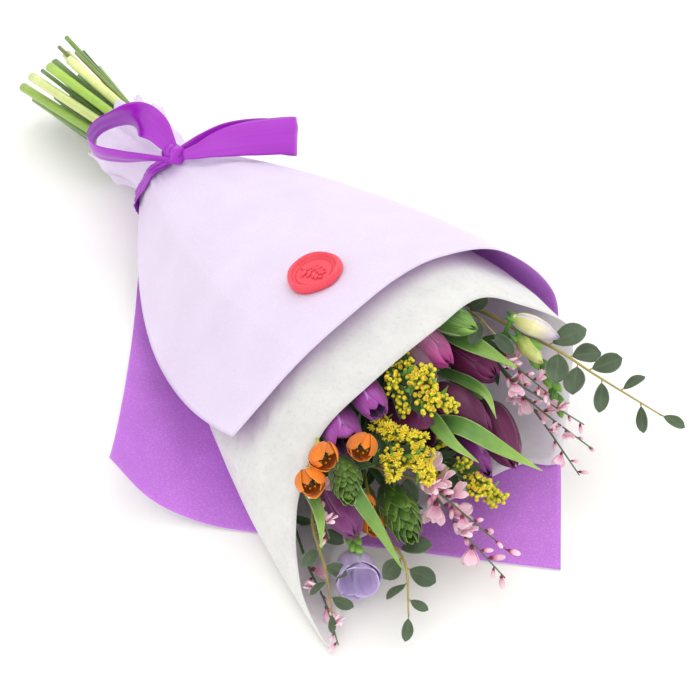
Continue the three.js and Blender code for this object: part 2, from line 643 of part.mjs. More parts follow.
// A goldenrod spray: side twigs off the stem's upper half, and its own beaded tip.
function goldenrod(stem, route) {
  const { stem: line, twigs, reach } = stem.item;
  const axis = smooth(line.map(from), 6);
  const bare = axis.slice(1, 5);
  const radii = route.map(() => stem.radius).concat(bare.map(() => 1.1));
  const solid = [bar([...route, ...bare], radii, 5)];
  const frame = frameAlong(axis[6].clone().sub(axis[2]));
  for (let k = 0; k < twigs; k += 1) {
    const root = axis[1 + Math.round((k * 4) / twigs)].clone().addScaledVector(frame.axis, 1.3 * k);
    const angle = k * GOLDEN_ANGLE + stem.item.turn;
    const end = at(root, frame, reach * 0.75 * Math.cos(angle), reach * 0.75 * Math.sin(angle), reach * 0.62);
    solid.push(beadedTwig(root, end, 2.7));
  }
  solid.push(beadedTwig(axis[4], at(axis[6], frame, 0, 0, 3), 2.8));
  return joined(solid);
}

function broom(stem, route) {
  const { twigs, flowers } = stem.item;
  const solid = [bar(route, stem.radius, 5)];
  twigs.forEach((points, t) => {
    const line = smooth([route.at(-1), ...points.map(from)], TWIG_STEPS);
    solid.push(bar(line, 0.8, 4));
    for (let k = 0; k < flowers; k += 1) {
      const share = mix(0.42, 0.97, k / (flowers - 1));
      const place = along(line, share);
      const frame = frameAlong(line.at(-1).clone().sub(line.at(-3)));
      const angle = k * GOLDEN_ANGLE + t;
      const out = at(vec(0, 0, 0), frame, Math.cos(angle), Math.sin(angle), 0);
      const end = place.clone().addScaledVector(out, 7).addScaledVector(frame.axis, 5.5);
      solid.push(pod(place.clone().addScaledVector(out, 0.1), end, 2.8, [[0, 0.3], [0.55, 1], [1, 0.3]], 3));
    }
  });
  return joined(solid);
}

function freesia(stem, route) {
  const { stem: line, buds, small, open } = stem.item;
  const axis = smooth(line.map(from), 8);
  const radii = route.map(() => stem.radius).concat(axis.slice(1).map(() => 1.3));
  const solid = [bar([...route, ...axis.slice(1)], radii, 5)];
  for (const bud of buds) {
    const base = from(bud.base);
    const joint = axis.reduce((best, p) => (p.distanceTo(base) < best.distanceTo(base) ? p : best), axis[0]);
    solid.push(bar([joint, base, base.clone().lerp(from(bud.tip), 0.2)], 1.8, 5));
    solid.push(pod(base, from(bud.tip), bud.radius, [[0, 0.4], [0.4, 0.8], [0.75, 1], [1, 0.3]], 6));
  }
  for (let k = 0; k < small; k += 1) {
    const root = axis[Math.min(axis.length - 1, 3 + k)];
    const ahead = axis.at(-1).clone().sub(axis.at(-3)).normalize();
    const frame = frameAlong(ahead);
    const lean = k % 2 === 0 ? 1 : -1;
    const end = at(root, frame, lean * 4.5, 5, 10 - 0.8 * k);
    solid.push(pod(root, end, 2.9 - 0.2 * k, [[0, 0.5], [0.55, 1], [1, 0.3]], 4));
  }
  if (open) {
    solid.push(bar([axis.at(-2), from(open.base), from(open.base).lerp(from(open.tip), 0.2)], 1.8, 5));
    solid.push(bloomCup({ ...open, width: 2 * open.radius, open: open.spread }));
  }
  return joined(solid);
}

// An oval leaf on a short stalk, in a plane through its stalk.
function ovalLeaf(root, direction, facing, length) {
  const across = new THREE.Vector3().crossVectors(facing, direction).normalize();
  const up = new THREE.Vector3().crossVectors(direction, across).normalize();
  const outline = [[0, 0.06], [0.22, 0.5], [0.6, 0.68], [0.88, 0.42], [1, 0.1]];
  const grid = outline.map(([out, width]) => [-1, 1].map((edge) => root.clone()
    .addScaledVector(direction, length * out)
    .addScaledVector(across, (edge * width * length) / 2)
    .addScaledVector(up, -0.1 * length * out * out)));
  return sheet(grid, 0.9);
}

function eucalyptus(stem, route) {
  const { route: places, leaves, size, first } = stem.item;
  const line = smooth(places.map(from), 8);
  const tapered = line.slice(1).map((_, i) => mix(stem.radius, 0.8, i / 7));
  const radii = route.map(() => stem.radius).concat(tapered);
  const solid = [bar([...route, ...line.slice(1)], radii, 5)];
  for (let k = 0; k < leaves; k += 1) {
    const share = mix(first, 1, k / (leaves - 1));
    const root = along(line, share);
    const ahead = along(line, share + 0.02).sub(along(line, share - 0.02)).normalize();
    const side = new THREE.Vector3().crossVectors(vec(0.3, -0.35, 0.9), ahead).normalize();
    const lean = k % 2 === 0 ? 1 : -1;
    const tilt = k === leaves - 1 ? 0.1 : 0.85;
    const direction = ahead.clone().multiplyScalar(1 - 0.55 * tilt).addScaledVector(side, lean * tilt)
      .addScaledVector(vec(0, 0, 1), 0.25 * Math.sin(k * 2.4)).normalize();
    const facing = vec(0.35 * Math.sin(k * 1.7), -0.4, 0.9).normalize();
    const foot = root.clone().addScaledVector(direction, -0.5);
    solid.push(ovalLeaf(foot, direction, facing, size * mix(1, 0.72, k / leaves)));
  }
  return joined(solid);
}

// ---------------------------------------------------------------- ribbon, twine and seal

// A loop of ribbon from the knot and back to it, with the direction of its width at
// each point; it is drawn in towards the knot.
function ribbonLoop(route, across) {
  const count = route.length + 1;
  const line = smooth(route.map(from), count);
  const turn = smooth(across.map(from), count);
  const grid = line.map((point, i) => {
    const ahead = heading(line, i);
    const way = turn[i].clone().addScaledVector(ahead, -turn[i].dot(ahead)).normalize();
    const spread = THREE.MathUtils.smoothstep(Math.min(i, count - i) / count, 0, KNOT_DRAW);
    const half = mix(KNOT_WIDTH, RIBBON_WIDTH, spread) / 2;
    return [-half, half].map((edge) => point.clone().addScaledVector(way, edge));
  });
  return sheet(grid, RIBBON_THICKNESS);
}

// The ribbon's slanted band, gathered round the paper's neck and drawn close to it.
function ribbonBand(sides) {
  const ring = (edge, lift) => Array.from({ length: sides }, (_, k) => {
    const angle = (k / sides) * 2 * Math.PI;
    const x = BAND_X + BAND_LEAN * Math.sin(angle) + (edge * BAND_WIDTH) / 2;
    const reach = Math.max(...paperReaches(x, angle)) + lift;
    return vec(x, reach * Math.cos(angle), middleHeight(x) + reach * Math.sin(angle));
  });
  const inside = PAPER_THICKNESS / 2 + BAND_SLACK;
  const outside = inside + RIBBON_THICKNESS;
  return slab([ring(-1, outside), ring(1, outside)], [ring(-1, inside), ring(1, inside)], true);
}

// A ring of cord or band round the stems, about the X axis.
function tieRing(radius, thickness, x0, x1, sides) {
  const ring = (x, r) => Array.from({ length: sides }, (_, k) => {
    const angle = (k / sides) * 2 * Math.PI;
    return vec(x, r * Math.cos(angle), TIE_Z + r * Math.sin(angle));
  });
  const outside = radius + thickness;
  return slab([ring(x0, outside), ring(x1, outside)], [ring(x0, radius), ring(x1, radius)], true);
}

// The directions of the ribbon's width: upright and outwards, and as a loop turns over.
const STANDING = [-0.56, 0.44, 0.71];
const FACING_UP = [0.14, 0.88, 0.44];
const TURNING = [0.54, 0.34, 0.77];
const EDGE_ON = [0.39, -0.3, 0.92];

const KNOT = { base: [-177, -9.5, 67.5], tip: [-162, -8, 71.5], radius: 5.8 };
const LEFT_LOOP = [[-166, -10, 70], [-175, -10, 76], [-188, -11, 82], [-202, -17, 84], [-213, -27, 80],
  [-216, -38, 76], [-212, -46, 72], [-203, -47, 70], [-190, -37, 69], [-178, -24, 69], [-167, -12, 68]];
const LEFT_TURN = [FACING_UP, FACING_UP, FACING_UP, TURNING, EDGE_ON, EDGE_ON, EDGE_ON, EDGE_ON, EDGE_ON,
  EDGE_ON, EDGE_ON];
const RIGHT_LOOP = [[-168, -6, 70], [-165, 10, 73], [-160, 26, 74], [-151, 48, 70], [-141, 64.3, 65.6],
  [-137.7, 66.7, 66.7], [-134.5, 66.2, 69.5], [-133.3, 63.3, 72.3], [-134.8, 59.5, 73.4],
  [-141, 43, 76], [-146, 28, 78], [-152, 13, 77], [-157, 3, 74], [-163, -6, 71]];

// The ribbon: a band round the neck, a knot and two loops.
function ribbon() {
  const profile = [[0, 0.6], [0.3, 1], [0.7, 1], [1, 0.6]];
  const knot = pod(from(KNOT.base), from(KNOT.tip), KNOT.radius, profile, 6);
  const left = ribbonLoop(LEFT_LOOP, LEFT_TURN);
  const right = ribbonLoop(RIGHT_LOOP, RIGHT_LOOP.map(() => STANDING));
  return joined([ribbonBand(18), knot, left, right]);
}

const SEAL_AT = [0.832, 0.823];     // its place on the paper
const SEAL_RADIUS = 17;
const SEAL_FACE = 3;              // height of its flat middle

// The wax seal: a poured disc that follows the paper, with a raised rim and a sprig in relief.
function waxSeal() {
  const [s0, v0] = SEAL_AT;
  const step = 0.01;
  const middle = paperPoint(s0, v0);
  const perS = paperPoint(s0 + step, v0).sub(middle).divideScalar(step);
  const perV = paperPoint(s0, v0 + step).sub(middle).divideScalar(step);
  const skew = perS.dot(perV) / perV.lengthSq();
  const sideways = perS.clone().addScaledVector(perV, -skew).length();
  const placed = (a, b, height) => {
    const s = s0 + a / sideways;
    const v = v0 + b / perV.length() - (skew * a) / sideways;
    const point = paperPoint(s, v);
    const normal = paperPoint(s + step, v).sub(point).cross(paperPoint(s, v + step).sub(point)).normalize();
    if (normal.z < 0) normal.negate();
    return point.addScaledVector(normal, height);
  };
  const heights = [[0, SEAL_FACE], [0.6, SEAL_FACE], [0.7, 4.6], [0.88, 4.4], [1, 2.2]];
  const sides = 14;
  const lift = PAPER_THICKNESS / 2 + CLEARANCE + 0.4;
  const ring = (share, height) => Array.from({ length: sides }, (_, k) => {
    const angle = (k / sides) * 2 * Math.PI;
    const wobble = share > 0.7 ? 1 + 0.05 * Math.sin(3 * angle + 1) + 0.03 * Math.sin(5 * angle) : 1;
    const reach = SEAL_RADIUS * Math.max(share, 0.04) * wobble;
    return placed(reach * Math.cos(angle), reach * Math.sin(angle), lift + height);
  });
  const rings = [ring(0, 0), ring(0.98, 0), ...heights.toReversed().map(([share, h]) => ring(share, h))];
  const disc = capped(rings);
  const line = (points, radius) => bar(points.map(([a, b]) => placed(a, b, lift + SEAL_FACE)), radius, 4);
  const sprig = [line([[0, -8], [0, 8]], 0.8)];
  for (let k = 0; k < 2; k += 1) {
    sprig.push(line([[0, -4 + 5 * k], [5, -1 + 5 * k]], 1));
    sprig.push(line([[0, -4 + 5 * k], [-5, -1 + 5 * k]], 1));
  }
  return joined([disc, ...sprig]);
}

// ---------------------------------------------------------------- the assembly

const BUILDERS = { star_of_bethlehem: spike, goldenrod, broom, freesia, eucalyptus };
const PLANT_COLOURS = {
  star_of_bethlehem: 'orange',
  goldenrod: 'solidago',
  broom: 'genista',
  freesia: 'freesia',
  eucalyptus: 'eucalyptus',
};

const pieces = [];

function add(name, solid, colour, roughness) {
  pieces.push({ name, solid, colour, roughness });
}

add('paper_wrap', paperWrap(), 'paper', 0.85);
add('tissue_liner', tissueLiner(), 'tissue', 0.9);
add('binding_twine', tieRing(BUNCH_RADIUS + 0.4, 0.9, TIE_X - 4, TIE_X - 1.2, 14), 'twine', 0.9);
add('ribbon', ribbon(), 'ribbon', 0.35);
add('wax_seal', waxSeal(), 'wax', 0.4);

const stems = packStems(stemList());
const routes = new Map(stems.map((stem, index) => [stem, stemRoute(stem, index)]));
for (const stem of stems.filter(({ kind }) => kind === 'tulip')) {
  add(`tulip_${stem.item.name}_stem`, tulipStem(stem, routes.get(stem)), 'stem', 0.5);
}
for (const stem of stems.filter(({ kind }) => kind === 'tulip')) {
  add(`tulip_${stem.item.name}_bloom`, bloomCup(stem.item), stem.item.colour, 0.45);
}
for (const stem of stems.filter(({ kind }) => kind !== 'tulip')) {
  const solid = BUILDERS[stem.kind](stem, routes.get(stem));
  add(`${stem.kind}_${stem.item.name}`, solid, PLANT_COLOURS[stem.kind], 0.6);
}

// Keeps each piece clear of those before it: what would cross one is cut back from it.
function keepClear(list) {
  const kept = [];
  for (const piece of list) {
    let solid = piece.solid;
    const box = solid.boundingBox();
    for (const other of kept) {
      const apart = [0, 1, 2].some((k) => box.min[k] > other.box.max[k] + 1
        || box.max[k] < other.box.min[k] - 1);
      if (apart || solid.intersect(other.fat).volume() < 1e-3) continue;
      solid = solid.subtract(other.fat);
    }
    const bodies = solid.decompose().sort((a, b) => b.volume() - a.volume());
    const clean = bodies[0].simplify(SMALLEST_DETAIL);
    kept.push({ box: clean.boundingBox(), fat: grown(clean, CLEARANCE + 0.1) });
    piece.solid = clean;
  }
  return list;
}

function meshOf({ name, solid, colour, roughness }) {
  const data = solid.getMesh();
  const geometry = new THREE.BufferGeometry();
  geometry.setAttribute('position', new THREE.BufferAttribute(data.vertProperties, 3));
  geometry.setIndex(new THREE.BufferAttribute(data.triVerts, 1));
  geometry.computeVertexNormals();
  const node = new THREE.Mesh(geometry, finish(COLOURS[colour], roughness));
  node.name = name;
  return node;
}

const bouquet = new THREE.Group();
for (const piece of keepClear(pieces)) bouquet.add(meshOf(piece));

export default bouquet;
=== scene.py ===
"""A hand-tied bouquet of mixed spring flowers in its paper wrap, modelled and dressed.

Modelling values are millimetres in the bouquet's own frame: +X runs from the cut stems
to the flowers, +Y to the bouquet's right, +Z up, and z = 0 is the surface that it lies
on. Each mesh is scaled to metres as it is finished.

Every plant mesh carries three vertex values for its materials: along, from 0 at a
petal's or leaf's foot to 1 at its tip; across, from -1 to 1 between its edges; and
tone, a steady random number for each petal, leaf or floret.
"""

from __future__ import annotations

import logging
import math
import random
from collections.abc import Callable, Iterable, Sequence
from dataclasses import dataclass, field
from enum import Enum
from typing import Any, ClassVar

import bmesh
import bpy
from mathutils import Matrix, Vector, noise

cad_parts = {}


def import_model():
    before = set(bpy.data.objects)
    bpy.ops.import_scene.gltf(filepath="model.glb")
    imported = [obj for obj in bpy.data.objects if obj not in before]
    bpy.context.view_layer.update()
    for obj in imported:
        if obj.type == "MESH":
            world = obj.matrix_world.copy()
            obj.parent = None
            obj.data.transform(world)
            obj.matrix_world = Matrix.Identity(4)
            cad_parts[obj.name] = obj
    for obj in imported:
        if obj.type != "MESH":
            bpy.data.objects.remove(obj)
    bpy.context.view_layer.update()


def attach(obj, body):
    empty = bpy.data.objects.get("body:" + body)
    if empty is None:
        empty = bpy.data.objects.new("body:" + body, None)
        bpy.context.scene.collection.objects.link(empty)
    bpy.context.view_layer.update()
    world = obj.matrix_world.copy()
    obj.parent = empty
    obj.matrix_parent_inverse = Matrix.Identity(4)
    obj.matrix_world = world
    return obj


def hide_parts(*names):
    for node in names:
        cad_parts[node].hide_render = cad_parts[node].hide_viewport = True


LOG = logging.getLogger("bouquet")

METRES = 0.001                    # one millimetre
GOLDEN_ANGLE = math.radians(137.5)
GOLDEN_SHARE = 0.618
UP = Vector((0, 0, 1))
SHOWN_SIDE = Vector((0.56, -0.44, 0.7))     # where the bunch shows through the wrap's opening

VERTEX_VALUES = ("along", "across", "tone")

Node = bpy.types.Node
Place = Callable[[float, float], Vector]
Point = tuple[float, float, float]
Section = list[tuple[float, float]]         # how far a sheet stands from the middle line, by angle
Socket = bpy.types.NodeSocket
Stops = Sequence[tuple[float, float]]
Tree = bpy.types.NodeTree


# ------------ small maths


def mix(a: float, b: float, t: float) -> float:
    """Returns the value a share t of the way from a to b."""
    return a + (b - a) * t


def clamp01(t: float) -> float:
    """Returns t held between 0 and 1."""
    return min(1.0, max(0.0, t))


def smoothstep(t: float, low: float, high: float) -> float:
    """Returns an eased 0 to 1 as t goes from low to high."""
    share = clamp01((t - low) / (high - low))
    return share * share * (3 - 2 * share)


def through(stops: Stops, t: float) -> float:
    """Returns the height at t of a smooth curve through a profile's stops.

    Args:
        stops: (place, height) pairs in order of place.
        t: the place asked for; beyond the ends the end heights hold.
    """
    if t <= stops[0][0]:
        return stops[0][1]
    if t >= stops[-1][0]:
        return stops[-1][1]
    k = next(i for i in range(len(stops) - 1) if t <= stops[i + 1][0])
    (x1, y1), (x2, y2) = stops[k], stops[k + 1]
    x0, y0 = stops[max(k - 1, 0)]
    x3, y3 = stops[min(k + 2, len(stops) - 1)]
    m1 = (y2 - y0) / (x2 - x0) * (x2 - x1)
    m2 = (y3 - y1) / (x3 - x1) * (x2 - x1)
    u = (t - x1) / (x2 - x1)
    a, b = 2 * u**3 - 3 * u**2 + 1, u**3 - 2 * u**2 + u
    c, d = -2 * u**3 + 3 * u**2, u**3 - u**2
    return a * y1 + b * m1 + c * y2 + d * m2


@dataclass(frozen=True)
class Axes:
    """A right-handed set of axes whose third follows a given direction."""

    side: Vector
    up: Vector
    axis: Vector

    @staticmethod
    def along(direction: Vector, hint: Vector = UP) -> Axes:
        """Returns axes whose third is the direction, turned by a hint at what is up."""
        axis = direction.normalized()
        helper = Vector((0, 1, 0)) if abs(axis.dot(hint)) > 0.95 else hint
        side = helper.cross(axis).normalized()
        return Axes(side, axis.cross(side), axis)

    def at(self, origin: Vector, side: float, up: float, along: float) -> Vector:
        """Returns the point at three offsets from an origin."""
        return origin + self.side * side + self.up * up + self.axis * along

    def around(self, origin: Vector, angle: float, reach: float, along: float) -> Vector:
        """Returns the point at an angle and a distance round the third axis."""
        return self.at(origin, reach * math.cos(angle), reach * math.sin(angle), along)

    def matrix(self, origin: Vector, scale: tuple[float, float, float]) -> Matrix:
        """Returns the transform that takes the unit axes to these, scaled, at an origin."""
        columns = [self.side * scale[0], self.up * scale[1], self.axis * scale[2]]
        turned = Matrix([[column[i] for column in columns] for i in range(3)]).to_4x4()
        return Matrix.Translation(origin) @ turned


class Path:
    """A smooth centripetal curve through a few points."""

    def __init__(self, points: Sequence[Sequence[float]]) -> None:
        """Keeps the points as vectors."""
        self.points = [Vector(p) for p in points]

    def at(self, t: float) -> Vector:
        """Returns the point at t, from 0 to 1, with each point's stretch as long as the next."""
        last = len(self.points) - 1
        place = clamp01(t) * last
        k = min(int(place), last - 1)
        w = place - k
        p1, p2 = self.points[k], self.points[k + 1]
        p0 = self.points[k - 1] if k > 0 else p1 * 2 - p2
        p3 = self.points[k + 2] if k + 2 <= last else p2 * 2 - p1
        d0, d1, d2 = (max((a - b).length, 1e-4) ** 0.5 for a, b in ((p0, p1), (p1, p2), (p2, p3)))
        m1 = ((p1 - p0) / d0 - (p2 - p0) / (d0 + d1) + (p2 - p1) / d1) * d1
        m2 = ((p2 - p1) / d1 - (p3 - p1) / (d1 + d2) + (p3 - p2) / d2) * d1
        bend = (p1 - p2) * 2 + m1 + m2
        rise = (p2 - p1) * 3 - m1 * 2 - m2
        return p1 + m1 * w + rise * w**2 + bend * w**3

    def steps(self, count: int) -> list[Vector]:
        """Returns count + 1 points at even steps."""
        return [self.at(i / count) for i in range(count + 1)]

    def ahead(self, t: float) -> Vector:
        """Returns the direction of travel at t."""
        return (self.at(t + 0.01) - self.at(t - 0.01)).normalized()


# ------------ finishes


def linear(hex_code: str) -> tuple[float, float, float, float]:
    """Returns an sRGB hex colour, such as "#a33bd1", as linear red, green, blue, alpha."""
    values = [int(hex_code[i : i + 2], 16) / 255 for i in (1, 3, 5)]
    red, green, blue = (v / 12.92 if v <= 0.04045 else ((v + 0.055) / 1.055) ** 2.4 for v in values)
    return (red, green, blue, 1.0)


MIX_FACTOR, MIX_A, MIX_B, MIX_RESULT = 0, 6, 7, 2   # a colour mix node's sockets


def add_node(
    tree: Tree, kind: str, settings: dict[Any, Any] | None = None, links: dict[Any, Socket] | None = None,
) -> Node:
    """Adds one node with its settings and links.

    Args:
        tree: the material's or world's node tree.
        kind: the node's type name.
        settings: properties by name and socket values by name or number; "stops"
            sets a colour ramp's colours.
        links: input sockets, by name or number, and the outputs that feed them.

    Returns:
        The new node.
    """
    node = tree.nodes.new(kind)
    for key, value in (settings or {}).items():
        if key == "stops":
            elements = node.color_ramp.elements
            while len(elements) < len(value):
                elements.new(1.0)
            for element, (place, colour) in zip(elements, value):
                element.position = place
                element.color = colour
        elif isinstance(key, str) and hasattr(node, key):
            setattr(node, key, value)
        else:
            node.inputs[key].default_value = value
    for key, output in (links or {}).items():
        tree.links.new(output, node.inputs[key])
    return node


def ranged(tree: Tree, value: Socket, low: float, high: float, start: float = 0, end: float = 1) -> Socket:
    """Returns a value carried from low to high on to start to end."""
    ends = {"From Min": low, "From Max": high, "To Min": start, "To Max": end}
    return add_node(tree, "ShaderNodeMapRange", ends, {"Value": value}).outputs[0]


def strayed(tree: Tree, value: Socket, strength: float) -> Socket:
    """Returns a noise as a factor that strays from 1 by a strength."""
    return ranged(tree, value, 0.3, 0.7, 1 - strength, 1 + strength)


def product(tree: Tree, value: Socket, factor: Socket | float) -> Socket:
    """Returns a value times a number or another value."""
    if isinstance(factor, float):
        return add_node(tree, "ShaderNodeMath", {"operation": "MULTIPLY", 1: factor}, {0: value}).outputs[0]
    return add_node(tree, "ShaderNodeMath", {"operation": "MULTIPLY"}, {0: value, 1: factor}).outputs[0]


def noisy(tree: Tree, place: Socket, scale: float, detail: float = 2.0, **more: float) -> Socket:
    """Returns a noise's height over places; more sets its other sockets by name."""
    settings = {"Scale": scale, "Detail": detail, **more}
    return add_node(tree, "ShaderNodeTexNoise", settings, {"Vector": place}).outputs["Fac"]


def blended(tree: Tree, share: Socket, first: Socket | str, second: str) -> Socket:
    """Returns a blend of two colours; the first is a hex code or comes from a node."""
    settings: dict[Any, Any] = {"data_type": "RGBA", MIX_B: linear(second)}
    links = {MIX_FACTOR: share}
    if isinstance(first, str):
        settings[MIX_A] = linear(first)
    else:
        links[MIX_A] = first
    return add_node(tree, "ShaderNodeMix", settings, links).outputs[MIX_RESULT]


def shaded(tree: Tree, colour: Socket, value: Socket) -> Socket:
    """Returns a colour made lighter or darker by a factor."""
    return add_node(tree, "ShaderNodeHueSaturation", None, {"Color": colour, "Value": value}).outputs[0]


def surfaced(
    tree: Tree, colour: Socket, height: Socket, strength: float, depth: float, settings: dict[str, Any],
) -> Node:
    """Adds the shader that ends a finish.

    Args:
        tree: the material's node tree.
        colour: its base colour.
        height: the height of its fine relief.
        strength: how strongly the relief shows.
        depth: the relief's depth in metres.
        settings: its other sockets' values.

    Returns:
        The Principled shader.
    """
    relief = add_node(tree, "ShaderNodeBump", {"Strength": strength, "Distance": depth}, {"Height": height})
    links = {"Base Color": colour, "Normal": relief.outputs[0]}
    return add_node(tree, "ShaderNodeBsdfPrincipled", settings, links)


@dataclass(frozen=True)
class Finish:
    """What every finish has: a name, and a surface that ends in a Principled shader."""

    name: str

    def material(self) -> bpy.types.Material:
        """Returns the finish's material, made once and shared after that."""
        found = bpy.data.materials.get(self.name)
        if found:
            return found
        made = bpy.data.materials.new(self.name)
        made.use_nodes = True
        made.node_tree.nodes.clear()
        shader = self.surface(made.node_tree)
        add_node(made.node_tree, "ShaderNodeOutputMaterial", links={"Surface": shader.outputs[0]})
        return made

    def surface(self, tree: Tree) -> Node:
        """Builds the pattern and returns the shader node."""
        raise NotImplementedError


@dataclass(frozen=True)
class PlantFinish(Finish):
    """Living tissue: colour runs from foot to tip, with veins, edges and a tone for each petal."""

    foot: str
    body: str
    tip: str
    edge: str = ""
    middle: str = ""                  # the colour of a midrib, where it shows
    body_at: float = 0.4
    edge_width: float = 0.05          # as a share of the petal's width
    veins: float = 0.1                # how strongly they show
    vein_count: int = 16              # across the petal
    mottle: float = 0.15
    roughness: float = 0.45
    sheen: float = 0.15
    coat: float = 0.0
    bump: float = 0.25
    flesh: float = 0.08               # light that soaks through the petal

    def surface(self, tree: Tree) -> Node:
        """Builds the gradient, veins, edge, mottle and relief."""
        along, across, tone = (
            add_node(tree, "ShaderNodeAttribute", {"attribute_name": name}).outputs["Fac"]
            for name in VERTEX_VALUES)
        stops = [(0.02, linear(self.foot)), (self.body_at, linear(self.body)), (0.97, linear(self.tip))]
        colour = add_node(tree, "ShaderNodeValToRGB", {"stops": stops}, {"Fac": along}).outputs["Color"]
        wide = add_node(tree, "ShaderNodeMath", {"operation": "ABSOLUTE"}, {0: across}).outputs[0]
        if self.edge:
            colour = blended(tree, ranged(tree, wide, 1 - 2 * self.edge_width, 1), colour, self.edge)
        if self.middle:
            colour = blended(tree, ranged(tree, wide, 0.16, 0.02), colour, self.middle)
        lines = self.vein_height(tree, along, across, tone)
        cloud = noisy(tree, add_node(tree, "ShaderNodeTexCoord").outputs["Object"], 180.0, 3.0)
        value = product(tree, strayed(tree, lines, self.veins), strayed(tree, cloud, self.mottle))
        value = product(tree, value, ranged(tree, tone, 0, 1, 0.82, 1.16))
        return surfaced(tree, shaded(tree, colour, value), lines, self.bump, 0.0004, {
            "Roughness": self.roughness, "Sheen Weight": self.sheen, "Coat Weight": self.coat,
            "Coat Roughness": 0.25, "Subsurface Weight": self.flesh,
            "Subsurface Radius": (1.0, 0.6, 0.4), "Subsurface Scale": 0.0015, "IOR": 1.42,
        })

    def vein_height(self, tree: Tree, along: Socket, across: Socket, tone: Socket) -> Socket:
        """Returns a height that makes long fine veins, in another place on each petal."""
        ways = {0: product(tree, across, float(self.vein_count)), 1: product(tree, along, 1.6),
                2: product(tree, tone, 37.0)}
        point = add_node(tree, "ShaderNodeCombineXYZ", None, ways)
        return noisy(tree, point.outputs[0], 1.0)


@dataclass(frozen=True)
class FibreFinish(Finish):
    """Paper or non-woven tissue: pressed fibres, seen as soft specks and clouds."""

    colour: str
    fleck: str
    contrast: float = 0.5
    fibre: float = 1.1                # mm across; real fibres are finer than the picture shows
    cloud: float = 30.0               # mm across, of the sheet's broad unevenness
    cloud_strength: float = 0.06
    roughness: float = 0.75
    bump: float = 0.12
    soak: float = 0.0                 # light that soaks through the sheet

    def surface(self, tree: Tree) -> Node:
        """Builds specks from noise at the fibres' size over broad clouds."""
        place = add_node(tree, "ShaderNodeTexCoord").outputs["Object"]
        specks = noisy(tree, place, 1000 / self.fibre, 3.0, Roughness=0.6, Distortion=0.6)
        share = ranged(tree, specks, 0.5, 0.72, 0, self.contrast)
        flecked = blended(tree, share, self.colour, self.fleck)
        clouds = noisy(tree, place, 1000 / self.cloud, 4.0)
        colour = shaded(tree, flecked, strayed(tree, clouds, self.cloud_strength))
        return surfaced(tree, colour, specks, self.bump, 0.0003, {
            "Roughness": self.roughness, "Sheen Weight": 0.1, "IOR": 1.5, "Subsurface Weight": self.soak,
            "Subsurface Scale": 0.002, "Subsurface Radius": (1.0, 1.0, 1.0),
        })


@dataclass(frozen=True)
class SatinFinish(Finish):
    """Polyester satin ribbon: long floats that gleam, with faint lines along its length."""

    colour: str
    deep: str
    line_width: float = 0.9           # mm; the threads are finer than the picture shows

    def surface(self, tree: Tree) -> Node:
        """Builds the lengthwise lines from the ribbon's own map."""
        ribbon_map = add_node(tree, "ShaderNodeUVMap", {"uv_map": "UVMap"}).outputs[0]
        scale = (Ribbon.width / self.line_width, 2.0, 1.0)
        stretched = add_node(tree, "ShaderNodeMapping", {"Scale": scale}, {"Vector": ribbon_map})
        lines = noisy(tree, stretched.outputs[0], 1.0)
        colour = blended(tree, ranged(tree, lines, 0.35, 0.65), self.deep, self.colour)
        return surfaced(tree, colour, lines, 0.03, 0.0002, {
            "Roughness": 0.3, "Anisotropic": 0.6, "Sheen Weight": 0.15, "Sheen Roughness": 0.3,
            "Specular IOR Level": 0.7, "IOR": 1.5,
        })


@dataclass(frozen=True)
class WaxFinish(Finish):
    """Poured sealing wax: an even colour with a soft gloss and small flow marks."""

    colour: str
    deep: str

    def surface(self, tree: Tree) -> Node:
        """Builds flow marks about 4 mm apart and a soft, slightly waxy surface."""
        place = add_node(tree, "ShaderNodeTexCoord").outputs["Object"]
        flow = noisy(tree, place, 250.0, Distortion=1.0)
        return surfaced(tree, blended(tree, flow, self.colour, self.deep), flow, 0.15, 0.0005, {
            "Roughness": 0.27, "Specular IOR Level": 0.42, "IOR": 1.44,
        })


# ------------ meshes in the making


